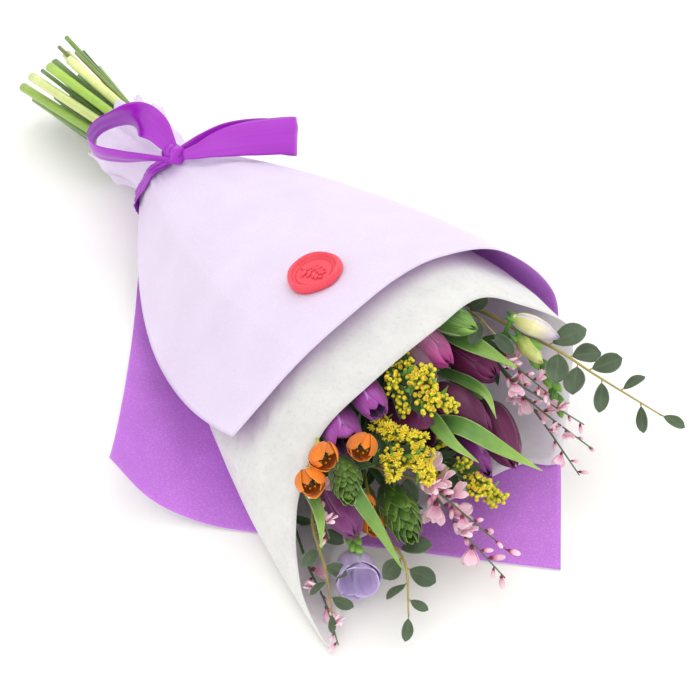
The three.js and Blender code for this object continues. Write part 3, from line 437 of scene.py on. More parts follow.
class Sculpt:
    """A piece in the making: a bmesh in millimetres with the plant values and a map."""

    crowded = 2500                    # vertices; the mesh tools slow down beyond this

    def __init__(self, seed: int = 1) -> None:
        """Starts an empty piece whose random draws come from the seed."""
        self.finishes: list[Finish] = []
        self.chance = random.Random(seed)
        self.parts: list[bpy.types.Mesh] = []
        self.start()

    def start(self) -> None:
        """Starts an empty mesh in hand."""
        self.bm = bmesh.new()
        self.bm.loops.layers.uv.new("UVMap")
        layers = self.bm.verts.layers.float
        for name in VERTEX_VALUES:
            layers.new(name)
        self.along, self.across, self.tone = (layers.get(name) for name in VERTEX_VALUES)

    def make_room(self) -> None:
        """Sets the mesh in hand aside once it is crowded."""
        if len(self.bm.verts) > self.crowded:
            part = bpy.data.meshes.new("part")
            self.bm.to_mesh(part)
            self.bm.free()
            self.parts.append(part)
            self.start()

    def dress(self, faces: Iterable[bmesh.types.BMFace], finish: Finish) -> None:
        """Gives faces a finish, which joins the piece's own at its first use."""
        if finish not in self.finishes:
            self.finishes.append(finish)
        number = self.finishes.index(finish)
        for face in faces:
            face.material_index = number
            face.smooth = True

    def sheet(
        self, place: Place, columns: int, rows: int, thickness: float,
        front: Finish, back: Finish | None = None, tone: float | None = None,
    ) -> None:
        """Adds a thin closed sheet over a surface.

        Args:
            place: gives the surface's point at (across -1 to 1, along 0 to 1).
            columns: faces across.
            rows: faces along.
            thickness: in millimetres, laid behind the surface.
            front: the finish on the surface.
            back: the finish behind it, or None for the same.
            tone: the sheet's tone, or None for a random one.
        """
        self.make_room()
        own = self.chance.random() if tone is None else tone
        verts = bmesh.ops.create_grid(
            self.bm, x_segments=columns, y_segments=rows, size=0.5, calc_uvs=True)["verts"]
        for vert in verts:
            across, along = 2 * vert.co.x, vert.co.y + 0.5
            vert[self.across], vert[self.along], vert[self.tone] = across, along, own
            vert.co = place(across, along)
        surface = {(vert[self.across], vert[self.along]): vert.co.copy() for vert in verts}
        faces = list({face for vert in verts for face in vert.link_faces})
        self.dress(faces, front)
        for face in faces:
            face.normal_update()
        shell = bmesh.ops.solidify(self.bm, geom=faces, thickness=thickness)["geom"]
        behind = [item for item in shell if isinstance(item, bmesh.types.BMFace)]
        self.dress(behind, back or front)
        for vert in (vert for face in behind for vert in face.verts):
            away = vert.co - surface[(vert[self.across], vert[self.along])]
            if away.length > 2 * thickness:     # a sharp fold throws the back's points far out
                vert.co -= away - away.normalized() * thickness

    def tube(
        self, points: Sequence[Vector], radii: Sequence[float], sides: int,
        finish: Finish, cut: Finish | None = None, flat: float = 1.0,
    ) -> None:
        """Adds a round bar along points, closed at both ends.

        Args:
            points: the middle line.
            radii: the radius at each point.
            sides: how many sides it has round.
            finish: the finish on its side.
            cut: the finish on its first end, or None for the same.
            flat: its thickness as a share of its width.
        """
        self.make_room()
        own = self.chance.random()
        side = Axes.along(points[1] - points[0]).side
        before: Matrix | None = None
        ring: list[bmesh.types.BMEdge] = []
        last = len(points) - 1
        first_ring: list[bmesh.types.BMEdge] = []
        for i, (point, radius) in enumerate(zip(points, radii)):
            ahead = (points[min(i + 1, last)] - points[max(i - 1, 0)]).normalized()
            side = (side - ahead * side.dot(ahead)).normalized()
            here = Axes(side, ahead.cross(side), ahead).matrix(point, (radius, radius * flat, 1.0))
            if before is None:
                made = bmesh.ops.create_circle(self.bm, cap_ends=False, segments=sides, radius=1, matrix=here)
                verts = made["verts"]
                ring = list({edge for vert in verts for edge in vert.link_edges})
                first_ring = ring
                for k, vert in enumerate(verts):
                    vert[self.across] = math.cos(2 * math.pi * k / sides)
            else:
                made = bmesh.ops.extrude_edge_only(self.bm, edges=ring)
                verts = [item for item in made["geom"] if isinstance(item, bmesh.types.BMVert)]
                bmesh.ops.transform(self.bm, matrix=here @ before.inverted(), verts=verts)
                self.dress((item for item in made["geom"] if isinstance(item, bmesh.types.BMFace)), finish)
                inside = set(verts)
                ring = [item for item in made["geom"] if isinstance(item, bmesh.types.BMEdge)
                        and item.verts[0] in inside and item.verts[1] in inside]
            for vert in verts:
                vert[self.along], vert[self.tone] = i / last, own
            before = here
        for edges, end_finish in ((first_ring, cut or finish), (ring, finish)):
            self.dress(bmesh.ops.contextual_create(self.bm, geom=edges)["faces"], end_finish)

    def bead(
        self, centre: Vector, direction: Vector, radius: float, length: float,
        finish: Finish, sides: int = 8, rings: int = 5,
    ) -> None:
        """Adds a small closed bud along a direction."""
        self.make_room()
        own = self.chance.random()
        axes = Axes.along(direction)
        made = bmesh.ops.create_uvsphere(
            self.bm, u_segments=sides, v_segments=rings, radius=1,
            matrix=axes.matrix(centre, (radius, radius, length / 2)))
        for vert in made["verts"]:
            vert[self.along] = clamp01((vert.co - centre).dot(axes.axis) / length + 0.5)
            vert[self.tone] = own
            self.dress(vert.link_faces, finish)

    def finish(
        self, name: str, nodes: Sequence[str], slot: str, bend: Callable[[Vector], Vector] | None = None,
    ) -> bpy.types.Object:
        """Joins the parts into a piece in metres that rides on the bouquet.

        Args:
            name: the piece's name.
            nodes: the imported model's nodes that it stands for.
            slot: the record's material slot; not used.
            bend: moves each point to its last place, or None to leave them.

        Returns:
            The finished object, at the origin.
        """
        for part in self.parts:
            self.bm.from_mesh(part)
            bpy.data.meshes.remove(part)
        if bend:
            for vert in self.bm.verts:
                vert.co = bend(vert.co)
        bmesh.ops.scale(self.bm, vec=(METRES,) * 3, verts=self.bm.verts)
        bmesh.ops.recalc_face_normals(self.bm, faces=self.bm.faces)
        mesh = bpy.data.meshes.new(name)
        self.bm.to_mesh(mesh)
        self.bm.free()
        for finish in self.finishes:
            mesh.materials.append(finish.material())
        piece = bpy.data.objects.new(name, mesh)
        bpy.context.scene.collection.objects.link(piece)
        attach(piece, "root")
        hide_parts(*nodes)
        LOG.info("%s: %d faces", name, len(mesh.polygons))
        return piece


# ------------ the bouquet's finishes

# Two-tone kraft paper, machine glazed: pale lilac outside, strong purple inside. It is thin
# enough that some light soaks through.
PAPER_OUTSIDE = FibreFinish("kraft_paper_lilac", "#ddd0e8", "#e8dff0", contrast=0.5, fibre=1.3,
                            cloud_strength=0.03, soak=0.15)
PAPER_INSIDE = FibreFinish("kraft_paper_purple", "#c576df", "#dca2ee", contrast=0.7, soak=0.15)
# Spunbonded tissue: its fibres mat in soft clouds, and the purple shows through inside.
TISSUE_OUTSIDE = FibreFinish("spunbonded_tissue", "#e2e2df", "#d2d3d0", contrast=0.7, fibre=3.0,
                             cloud=12.0, cloud_strength=0.05, roughness=0.9, bump=0.3, soak=0.35)
# Its inside face is lilac where the purple shows through, and it is painted lighter than the outside face:
# painted light that lifts the shade inside the wrap.
TISSUE_INSIDE = FibreFinish("spunbonded_tissue_over_purple_painted_light", "#f4edf4", "#faf6fa", contrast=0.5,
                            fibre=3.0, cloud=14.0, roughness=0.9, bump=0.3, soak=0.75)
# Dyed satin: the gleam runs across its threads and is paler than the dye.
SATIN = SatinFinish("polyester_satin", "#ac20c6", "#a21cbc")
# Coral red wax, opaque and a little glossy.
WAX = WaxFinish("poured_sealing_wax", "#ee5060", "#e24454")
# Jute twine: matt twisted fibre, hidden under the wrap's neck.
TWINE = FibreFinish("jute_twine", "#b59a6a", "#8f774b", contrast=0.8, fibre=1.5)

# Tulip stems are cut at different heights: some pale, some bright, some dark green.
# All have a thin smooth skin that shines a little.
TULIP_STEM = PlantFinish(
    "tulip_stem", "#dfe79c", "#a9c25c", "#5f8f3e", body_at=0.3, vein_count=3, mottle=0.06, roughness=0.4,
    coat=0.3)
BRIGHT_STEM = PlantFinish(
    "bright_tulip_stem", "#9dbd48", "#7fa93c", "#5f8f3e", body_at=0.3, veins=0.12, vein_count=3,
    mottle=0.08, roughness=0.4, coat=0.3)
DARK_STEM = PlantFinish(
    "leafy_stem", "#6f9440", "#4a7330", "#3f6629", body_at=0.25, veins=0.15, vein_count=4, mottle=0.1,
    roughness=0.42, coat=0.25)
CUT_END = PlantFinish("cut_stem_flesh", "#e4ecbc", "#e4ecbc", "#e4ecbc")
# Tulip leaves: a waxy green that grows paler to the tip, with thin lime edges.
TULIP_LEAF = PlantFinish(
    "tulip_leaf", "#4c7440", "#60903e", "#a0c45c", edge="#a4c870", body_at=0.55, veins=0.14, vein_count=20,
    mottle=0.1, roughness=0.42, coat=0.12)
# The leaves deep between the stems, which little light reaches.
DARK_LEAF = PlantFinish(
    "shaded_green_leaf", "#22391a", "#2a4620", "#365628", edge="#48683a", veins=0.2, vein_count=12,
    roughness=0.55)
# Dark tulips: a satin skin, finely veined. The purple petals pale only along their thin edges; on the
# burgundy petals the paler edge colour is painted sheen.
BURGUNDY_PETAL = PlantFinish(
    "burgundy_tulip_petal", "#3a1230", "#641a48", "#702358", edge="#8c4278", veins=0.2, vein_count=12,
    mottle=0.08, sheen=0.06)
PURPLE_PETAL = PlantFinish(
    "purple_tulip_petal", "#4f2350", "#7a2878", "#933a96", edge="#bd80c6", edge_width=0.08, veins=0.24,
    vein_count=12, mottle=0.08, roughness=0.42, sheen=0.2)
# The inner faces of the purple and burgundy petals: darker than their outsides and darkest at the foot, as
# painted shade deep in the cup.
PURPLE_PETAL_INSIDE = PlantFinish(
    "purple_tulip_petal_inside_painted_shade", "#1c0c22", "#4e3058", "#a06aae", edge="#c08cc8", body_at=0.55,
    edge_width=0.12, veins=0.35)
BURGUNDY_PETAL_INSIDE = PlantFinish(
    "burgundy_tulip_petal_inside_painted_shade", "#12060e", "#340a26", "#5e1a48", edge="#8a3a78", body_at=0.55,
    edge_width=0.1, veins=0.25)
# The pink tulip turns from beige-green at its foot to strong magenta near its tip.
PINK_PETAL = PlantFinish(
    "pink_tulip_petal", "#b0a486", "#d092b6", "#b8358c", edge="#dc92c2", edge_width=0.07, veins=0.14,
    mottle=0.08)
# Mauve tulips, one dull over green and one darker and dusty.
MAUVE_PETAL = PlantFinish(
    "mauve_tulip_petal", "#a09a78", "#8a6478", "#5a2a4a", edge="#a9849a", edge_width=0.08, veins=0.22,
    mottle=0.08)
DUSKY_PETAL = PlantFinish(
    "dusky_tulip_petal", "#5c2e54", "#712f68", "#7c3674", edge="#a86ca2", veins=0.18, vein_count=14,
    mottle=0.08, sheen=0.2)
# A tulip still closed: green petals with strong ribs and pale edges.
GREEN_PETAL = PlantFinish(
    "green_tulip_bud_petal", "#44702a", "#467a2c", "#7ea44a", edge="#9cbc74", body_at=0.6, edge_width=0.06,
    veins=0.4, vein_count=12, mottle=0.08, coat=0.15)
# Star-of-Bethlehem: matt orange cups round a shiny dark eye; inside, the petals darken to brown at the foot
# as painted shade deep in the cup.
ORANGE_PETAL = PlantFinish(
    "star_flower_petal", "#cc8414", "#e07410", "#e88018", edge="#f0942c", veins=0.12, vein_count=8,
    mottle=0.08, sheen=0.1)
ORANGE_PETAL_INSIDE = PlantFinish(
    "star_flower_petal_inside_painted_shade", "#3a1806", "#c4640c", "#f08c1e", veins=0.12, vein_count=8, mottle=0.08)
DARK_EYE = PlantFinish("star_flower_eye", "#1a1210", "#22160f", "#3c2c12", roughness=0.3)
# Its bracts are leafy, a little waxy, and pale at the very edge.
BRACT = PlantFinish(
    "star_flower_bract", "#2a4a0a", "#345c0a", "#587c1c", edge="#96b060", body_at=0.55, veins=0.3,
    vein_count=4, roughness=0.42, coat=0.15)
YELLOW_GREEN_BUD = PlantFinish("star_flower_bud", "#6d9a35", "#a9b93a", "#d8c64a", veins=0.15, vein_count=6)
# Goldenrod florets: lime below, yellow above, with a small orange mouth.
GOLDENROD_BUD = PlantFinish(
    "goldenrod_floret", "#9db020", "#efe22a", "#c88a10", body_at=0.78, veins=0.06, vein_count=4,
    mottle=0.05, flesh=0.15)
GOLDENROD_RAY = PlantFinish("goldenrod_ray", "#f4cc0c", "#ffe41c", "#fff052", veins=0.06, mottle=0.05)
FINE_LEAF = PlantFinish("fine_green_leaf", "#5c8a2e", "#5f9430", "#7fae45", middle="#8fb860", veins=0.2)
# Broom: grey-green twigs, and flowers that pale from a pink foot behind a wine-red calyx.
BROOM_TWIG = PlantFinish("broom_twig", "#46593a", "#4c6240", "#5c7048", veins=0.25, vein_count=4)
BROOM_PETAL = PlantFinish(
    "broom_petal", "#cf5c90", "#f2bcd2", "#f9dde6", edge="#f6cfdc", edge_width=0.2, veins=0.08,
    vein_count=6, mottle=0.05, flesh=0.15)
BROOM_CALYX = PlantFinish("broom_calyx", "#5e1432", "#7c1c44", "#9c3860", veins=0.15)
# Freesias: thin waxy petals that let light through.
CREAM_PETAL = PlantFinish(
    "cream_freesia_petal", "#a3ad52", "#e6dda6", "#c3b4d0", edge="#d6cadf", body_at=0.45, edge_width=0.2,
    vein_count=8, mottle=0.06, flesh=0.15)
LIME_PETAL = PlantFinish("lime_freesia_bud", "#7fa03a", "#b9c468", "#ccd08a", veins=0.12, vein_count=10)
GREEN_BUD = PlantFinish(
    "green_freesia_bud", "#3e7426", "#568f30", "#86b54c", veins=0.12, vein_count=5, coat=0.15)
BLUE_PETAL = PlantFinish(
    "blue_freesia_petal", "#e0d8e8", "#c6b2da", "#bca8d6", edge="#d2c6e6", edge_width=0.2, vein_count=8,
    mottle=0.06, flesh=0.2)
# Eucalyptus: a matt grey-green with a waxy bloom, paler behind.
EUCALYPTUS_LEAF = PlantFinish(
    "eucalyptus_leaf", "#4a5c40", "#48593f", "#536650", edge="#75866a", middle="#55674b", edge_width=0.04,
    vein_count=8, mottle=0.14, roughness=0.62, sheen=0.1, bump=0.12)
EUCALYPTUS_BACK = PlantFinish(
    "eucalyptus_leaf_back", "#74866a", "#708267", "#7c8f74", middle="#82957a", vein_count=8, roughness=0.7)
EUCALYPTUS_TWIG = PlantFinish("eucalyptus_twig", "#7b8a4a", "#94924e", "#a59550", veins=0.15, vein_count=4)


# ------------ the paper and the tissue


class Wrap:
    """The paper wrap and its tissue liner, as surfaces of s round the edge and v from the tie."""

    tie_x = -194.0
    tie_z = 34.0
    paper_thickness = 0.8
    paper_neck = 21.2                 # the paper's radius at the tie
    collar = 50.0                     # how far the paper runs back from the tie
    underside_run = 100.0             # from the tie to where it lies on the ground
    paper_start, paper_end = math.radians(-178), math.radians(171)
    overlap = math.radians(19)        # that the sheet's last edge is drawn over its first at the neck
    pleats = 20                       # folds in and out, round the neck
    first_stretch = 0.25              # the share of s that the edge's first stretch takes
    tissue_start = math.radians(-155)
    tissue_neck = 19.4
    tissue_floor = 2.2                # the lowest that the tissue lies
    tissue_billow = 0.1               # how much it swells between the tie and its edge
    tissue_inset = 3.4                # how far inside the paper it stays
    section_window = 0.15             # radians between directions that count as the same
    middle_height = 45.0              # of the middle line, past the neck
    paper_edges = (
        Path([(7, -175, 40), (28, -163, 14), (53, -145, 3), (92, -109, 0), (206, -2, 0)]),
        Path([(206, -2, 0), (148, 52, 0), (111, 85, 6), (89, 102, 22), (76, 107, 58), (60, 73, 101),
              (54, 31, 115), (54, 1, 117), (58, -39, 112), (59, -75, 99), (54, -120, 62)]),
    )
    tissue_edge = Path([
        (172, -141, 2), (153, -120, 2), (120, -95, 2), (128, -30, 2), (134, 34, 2), (146, 49, 3),
        (130, 72, 12), (111, 91, 50), (108, 91, 62), (99, 63, 89), (87, 34, 105), (91, 0, 106),
        (95, -53, 96), (96, -86, 81), (103, -107, 60), (117, -123, 42), (141, -136, 15), (172, -141, 2)])

    def __init__(self) -> None:
        """Starts with no section worked out."""
        self.papers: dict[int, Section] = {}
        self.liners: dict[int, Section] = {}

    def edge(self, s: float) -> Vector:
        """Returns the point of the paper's free edge at s."""
        if s < self.first_stretch:
            return self.paper_edges[0].at(s / self.first_stretch)
        return self.paper_edges[1].at((s - self.first_stretch) / (1 - self.first_stretch))

    def draped(self, edge: Vector, neck: Vector, v: float, fullness: float, drop: float) -> Vector:
        """Returns the point at v on a straight fold from the neck to the edge, eased on to the ground."""
        floor = self.paper_thickness / 2
        x = mix(self.tie_x, edge.x, v)
        spread = 1 - (1 - v) ** fullness
        low = clamp01((100 - edge.z) / 55)
        ease = clamp01(1 - (x - self.tie_x) / self.underside_run) ** drop
        under = mix(floor, neck.z, ease) + max(0.0, edge.z - floor) * v**3
        over = mix(neck.z, edge.z, v)
        return Vector((x, mix(neck.y, edge.y, spread), max(floor, mix(over, under, low))))

    def paper(self, s: float, v: float) -> Vector:
        """Returns a point of the smooth paper; v below 0 runs along the collar to its end."""
        edge = self.edge(s)
        angle = mix(self.paper_start, self.paper_end, s)
        pleat = math.cos(math.pi * self.pleats * s)
        flare = 6.5 * v * v if v < 0 else 0.0
        fold = mix(0.5, 1.5, -v) if v < 0 else 0.5 + 0.7 * math.sin(math.pi * min(1.0, v * 2.2))
        last = smoothstep(s, 0.9, 1.0) * (1.0 if v < 0 else math.exp(-v / 0.12))
        angle += self.overlap * last
        radius = self.paper_neck + flare + fold * pleat + 1.6 * last
        neck = Vector((0, radius * math.cos(angle), self.tie_z + radius * math.sin(angle)))
        if v < 0:
            return Vector((self.tie_x + self.collar * v * (1 + 0.06 * pleat), neck.y, neck.z))
        fullness = 1 + 1.1 * smoothstep(s, 0.1, 0.28)
        drop = 1.6 + 1.2 * (1 - smoothstep(s, 0.02, 0.2))
        return self.draped(edge, neck, v, fullness, drop)

    def creased(self, s: float, v: float) -> Vector:
        """Returns a point of the paper with the gathers at its neck and its crumpled collar."""
        point = self.paper(s, v)
        middle = Vector((point.x, 0, self.tie_z))
        out = (point - middle).normalized()
        if v < 0:
            crumple = noise.noise(Vector((s * 11, v * 2.4, 4.1))) * 6.0
            crumple += (abs(noise.noise(Vector((s * 21, v * 4, 9)))) - 0.25) * 4.5
            return point + out * (crumple + 2.0) * smoothstep(-v, 0, 0.6)
        gather = math.exp(-v / 0.1) * (1 - math.exp(-v / 0.02))
        folds = noise.noise(Vector((s * 46, v * 2.0, 1.7))) * 3.4
        folds += noise.noise(Vector((s * 21, v * 5, 7.7))) * 2.0
        soft = noise.noise(Vector((s * 9, v * 3.4, 3.3))) * 1.1
        soft *= smoothstep(v, 0.04, 0.3) * (1 - smoothstep(v, 0.85, 1))
        raised = smoothstep(point.z, 3, 20)
        return point + out * (folds * gather + soft) * raised

    def sampled(
        self, surface: Place, edge: Callable[[float], Vector], x: float, places: Iterable[float],
        last: float = 1.0, lowest: float = 0.0,
    ) -> Section:
        """Returns a sheet's section at x.

        Args:
            surface: gives the sheet's point at (s, v).
            edge: gives its free edge's point at s.
            x: where it is cut.
            places: the values of s to sample at.
            last: the largest v that still counts as on the sheet.
            lowest: the height below which the sheet doesn't count.
        """
        middle = self.middle(x)
        samples = []
        for s in places:
            v = (x - self.tie_x) / (edge(s).x - self.tie_x)
            point = surface(s, min(v, 1.0)) if v <= last else None
            if point and point.z >= lowest:
                rise = point.z - middle
                samples.append((math.atan2(rise, point.y), math.hypot(point.y, rise)))
        return samples

    def section(self, x: float) -> Section:
        """Returns the raised paper's section at x, to the nearest millimetre."""
        key = round(x)
        if key not in self.papers:
            places = (k / 160 for k in range(161))
            self.papers[key] = self.sampled(self.paper, self.edge, key, places, 1.02, self.tissue_floor)
        return self.papers[key]

    def paper_reach(self, x: float, bearing: float) -> float:
        """Returns how far the paper stands from the middle line at x, on a bearing."""
        return max(reach for angle, reach in self.section(x) if self.close_by(angle, bearing))

    def close_by(self, angle: float, bearing: float) -> bool:
        """Tells whether two directions round the middle line are nearly the same."""
        return abs(math.atan2(math.sin(angle - bearing), math.cos(angle - bearing))) < self.section_window

    def liner(self, x: float) -> Section:
        """Returns the tissue's section at x, to the nearest 4 mm."""
        key = round(x / 4) * 4
        if key not in self.liners:
            places = (k / 90 for k in range(90))
            self.liners[key] = self.sampled(self.tissue, self.tissue_edge.at, key, places)
        return self.liners[key]

    def holds(self, point: Vector, spare: float = 2.0) -> bool:
        """Tells whether a point is inside the tissue, or beyond its edge, with room to spare."""
        rise = point.z - self.middle(point.x)
        bearing, distance = math.atan2(rise, point.y), math.hypot(point.y, rise)
        near = [reach for angle, reach in self.liner(point.x) if self.close_by(angle, bearing)]
        return point.z > self.tissue_floor + spare and (not near or distance < min(near) - spare)

    def middle(self, x: float) -> float:
        """Returns the height of the bouquet's middle line at x."""
        return mix(self.tie_z, self.middle_height, clamp01((x - self.tie_x) / 200))

    def tissue(self, s: float, v: float) -> Vector:
        """Returns a point of the tissue, held inside the paper and above the ground."""
        edge = self.tissue_edge.at(s)
        x = mix(self.tie_x, edge.x, v)
        middle = self.middle(x)
        bearing_at_edge = math.atan2(edge.z - self.middle_height, edge.y)
        if s > 0.5 and bearing_at_edge < 0:
            bearing_at_edge += 2 * math.pi
        bearing = mix(self.tissue_start + 2 * math.pi * s, bearing_at_edge, 1 - (1 - v) ** 2)
        edge_reach = math.hypot(edge.y, edge.z - self.middle_height)
        billow = 1 + self.tissue_billow * math.sin(math.pi * v)
        fullness = mix(1.7, 1.1, math.cos(math.pi * s) ** 8)
        reach = mix(self.tissue_neck, edge_reach, 1 - (1 - v) ** fullness) * billow
        limits = [distance for angle, distance in self.section(x) if self.close_by(angle, bearing)]
        reach = min([reach, *(distance - self.tissue_inset for distance in limits)])
        down = max(-math.sin(bearing), 1e-6)
        reach = min(reach, (middle - self.tissue_floor) / down)
        return Vector((x, reach * math.cos(bearing), middle + reach * math.sin(bearing)))

    def crinkled(self, s: float, v: float) -> Vector:
        """Returns a point of the tissue with its soft crinkles."""
        point = self.tissue(s % 1.0, v)
        middle = Vector((point.x, 0, self.middle(point.x)))
        out = (point - middle).normalized()
        crinkle = noise.noise(Vector((point.x * 0.05, s * 24, 2.2))) * 0.9
        return point + out * crinkle * smoothstep(point.z, 3, 14)

    def build_paper(self) -> None:
        """Builds the wrap: one sheet from the collar's end to the free edge."""
        sculpt = Sculpt()
        collar_share = 0.14           # of the sheet's rows

        def place(across: float, along: float) -> Vector:
            """Returns the paper's point, with the collar first."""
            s = (1 + across) / 2
            if along < collar_share:
                return self.creased(s, along / collar_share - 1)
            return self.creased(s, (along - collar_share) / (1 - collar_share))

        sculpt.sheet(place, 280, 90, 0.5, PAPER_OUTSIDE, PAPER_INSIDE, tone=0.5)
        sculpt.finish("paper_wrap_sheet", ["paper_wrap"], "kraft_paper")

    def build_tissue(self) -> None:
        """Builds the liner: one cone whose two long edges meet underneath."""
        sculpt = Sculpt()
        seam = 0.0005                 # of the way round, so that the edges don't touch

        def place(across: float, along: float) -> Vector:
            """Returns the tissue's point."""
            return self.crinkled(mix(seam, 1 - seam, (across + 1) / 2), along)

        sculpt.sheet(place, 150, 50, 0.35, TISSUE_OUTSIDE, TISSUE_INSIDE, tone=0.5)
        sculpt.finish("tissue_liner_sheet", ["tissue_liner"], "tissue")


# ------------ ribbon, twine and seal


class Ribbon:
    """The satin bow: a band round the neck, a knot and two loops."""

    width = 25.0
    thickness = 0.35
    knot = (Vector((-177, -9.5, 67.5)), Vector((-162, -8, 71.5)))
    knot_radius, knot_half = 6.2, 7.6
    band_x, band_lean, band_width = -185.0, 9.0, 12.0
    standing = (-0.56, 0.44, 0.71)    # the width's direction, upright and outwards
    facing_up = (0.14, 0.88, 0.44)
    turning = (0.54, 0.34, 0.77)
    edge_on = (0.39, -0.3, 0.92)
    left_loop = ((-166, -10, 70), (-175, -10, 76), (-188, -11, 82), (-202, -17, 84), (-213, -27, 80),
                 (-216, -38, 76), (-212, -46, 72), (-203, -47, 70), (-190, -37, 69), (-178, -24, 69),
                 (-167, -12, 68))
    right_loop = ((-168, -6, 70), (-165, 10, 73), (-160, 26, 74), (-151, 48, 70), (-141, 64.3, 65.6),
                  (-137.7, 66.7, 66.7), (-134.5, 66.2, 69.5), (-133.3, 63.3, 72.3), (-134.8, 59.5, 73.4),
                  (-141, 43, 76), (-146, 28, 78), (-152, 13, 77), (-157, 3, 74), (-163, -6, 71))

    def __init__(self, wrap: Wrap) -> None:
        """Keeps the paper that the band is drawn round."""
        self.wrap = wrap

    def strand(self, sculpt: Sculpt, route: Sequence[Sequence[float]], turns: Sequence[Sequence[float]],
               widths: Stops, curl: float) -> None:
        """Adds one length of ribbon.

        Args:
            sculpt: takes the mesh.
            route: its middle line.
            turns: the direction of its width, at even steps along it.
            widths: its width along it, drawn in at the knot.
            curl: how far its edges bend away from its middle, in millimetres.
        """
        line, turn = Path(route), Path(turns)

        def place(across: float, along: float) -> Vector:
            """Returns the ribbon's point."""
            ahead = line.ahead(along)
            way = turn.at(along)
            way = (way - ahead * way.dot(ahead)).normalized()
            out = ahead.cross(way)
            half = through(widths, along) / 2
            ripple = noise.noise(Vector((along * 5, across * 1.4, curl))) * 1.2
            return line.at(along) + way * across * half + out * (curl * (1 - across**2) + ripple)

        sculpt.sheet(place, 14, 90, self.thickness, SATIN, tone=0.5)

    def build(self) -> None:
        """Builds the bow."""
        sculpt = Sculpt()
        self.band(sculpt)
        drawn_in = [(0, 6), (0.1, 12), (0.22, 21), (0.36, 25), (0.62, 25), (0.78, 21), (0.9, 12), (1, 6)]
        left_turns = [self.facing_up] * 3 + [self.turning] + [self.edge_on] * 7
        self.strand(sculpt, self.left_loop, left_turns, drawn_in, 1.4)
        self.strand(sculpt, self.right_loop, [self.standing] * 14, drawn_in, -1.2)
        self.tie_knot(sculpt)
        piece = sculpt.finish("ribbon_bow", ["ribbon"], "satin_ribbon")

    def band(self, sculpt: Sculpt) -> None:
        """Adds the length that runs slanted round the neck, gathered into small folds."""
        def place(across: float, along: float) -> Vector:
            """Returns the band's point."""
            angle = math.radians(mix(-88, 268, along))
            x = self.band_x + self.band_lean * math.sin(angle) + across * self.band_width / 2
            fold = 0.9 * math.sin(across * 7 + 2.5 * math.sin(2 * angle)) + 0.5 * math.sin(11 * angle)
            reach = self.wrap.paper_reach(x, angle) + 2.0 + fold * 0.55
            return Vector((x, reach * math.cos(angle), self.wrap.middle(x) + reach * math.sin(angle)))

        sculpt.sheet(place, 16, 120, self.thickness, SATIN, tone=0.5)

    def tie_knot(self, sculpt: Sculpt) -> None:
        """Adds the knot: the ribbon wound once round itself, pinched into folds."""
        foot, top = self.knot
        axes = Axes.along(top - foot)
        middle = (foot + top) / 2

        def place(across: float, along: float) -> Vector:
            """Returns the knot's point: along runs round it, across runs over its width."""
            angle = 2 * math.pi * along * 0.995
            pinch = 1 - 0.3 * across**2 + 0.08 * math.cos(3 * math.pi * across + 2 * math.sin(angle))
            tucked = 1 - 0.92 * smoothstep(abs(across), 0.72, 1.0)
            rise = across * self.knot_half * (0.75 + 0.25 * tucked)
            return axes.around(middle, angle, self.knot_radius * pinch * tucked, rise)

        sculpt.sheet(place, 22, 40, self.thickness, SATIN, tone=0.5)


class Twine:
    """The twine that ties the stems, laid in two turns under the paper's neck."""

    radius = 17.4

    def build(self) -> None:
        """Builds the two turns as one closed winding."""
        sculpt = Sculpt()
        for turn in range(2):
            middle = Vector((Wrap.tie_x - 3.4 + 1.5 * turn, 0, Wrap.tie_z))
            angles = [math.radians(mix(0, 359, k / 48)) for k in range(49)]
            ways = [Vector((0, math.cos(angle), math.sin(angle))) for angle in angles]
            sculpt.tube([middle + way * self.radius for way in ways], [0.7] * len(ways), 8, TWINE)
        sculpt.finish("binding_twine_turns", ["binding_twine"], "twine")


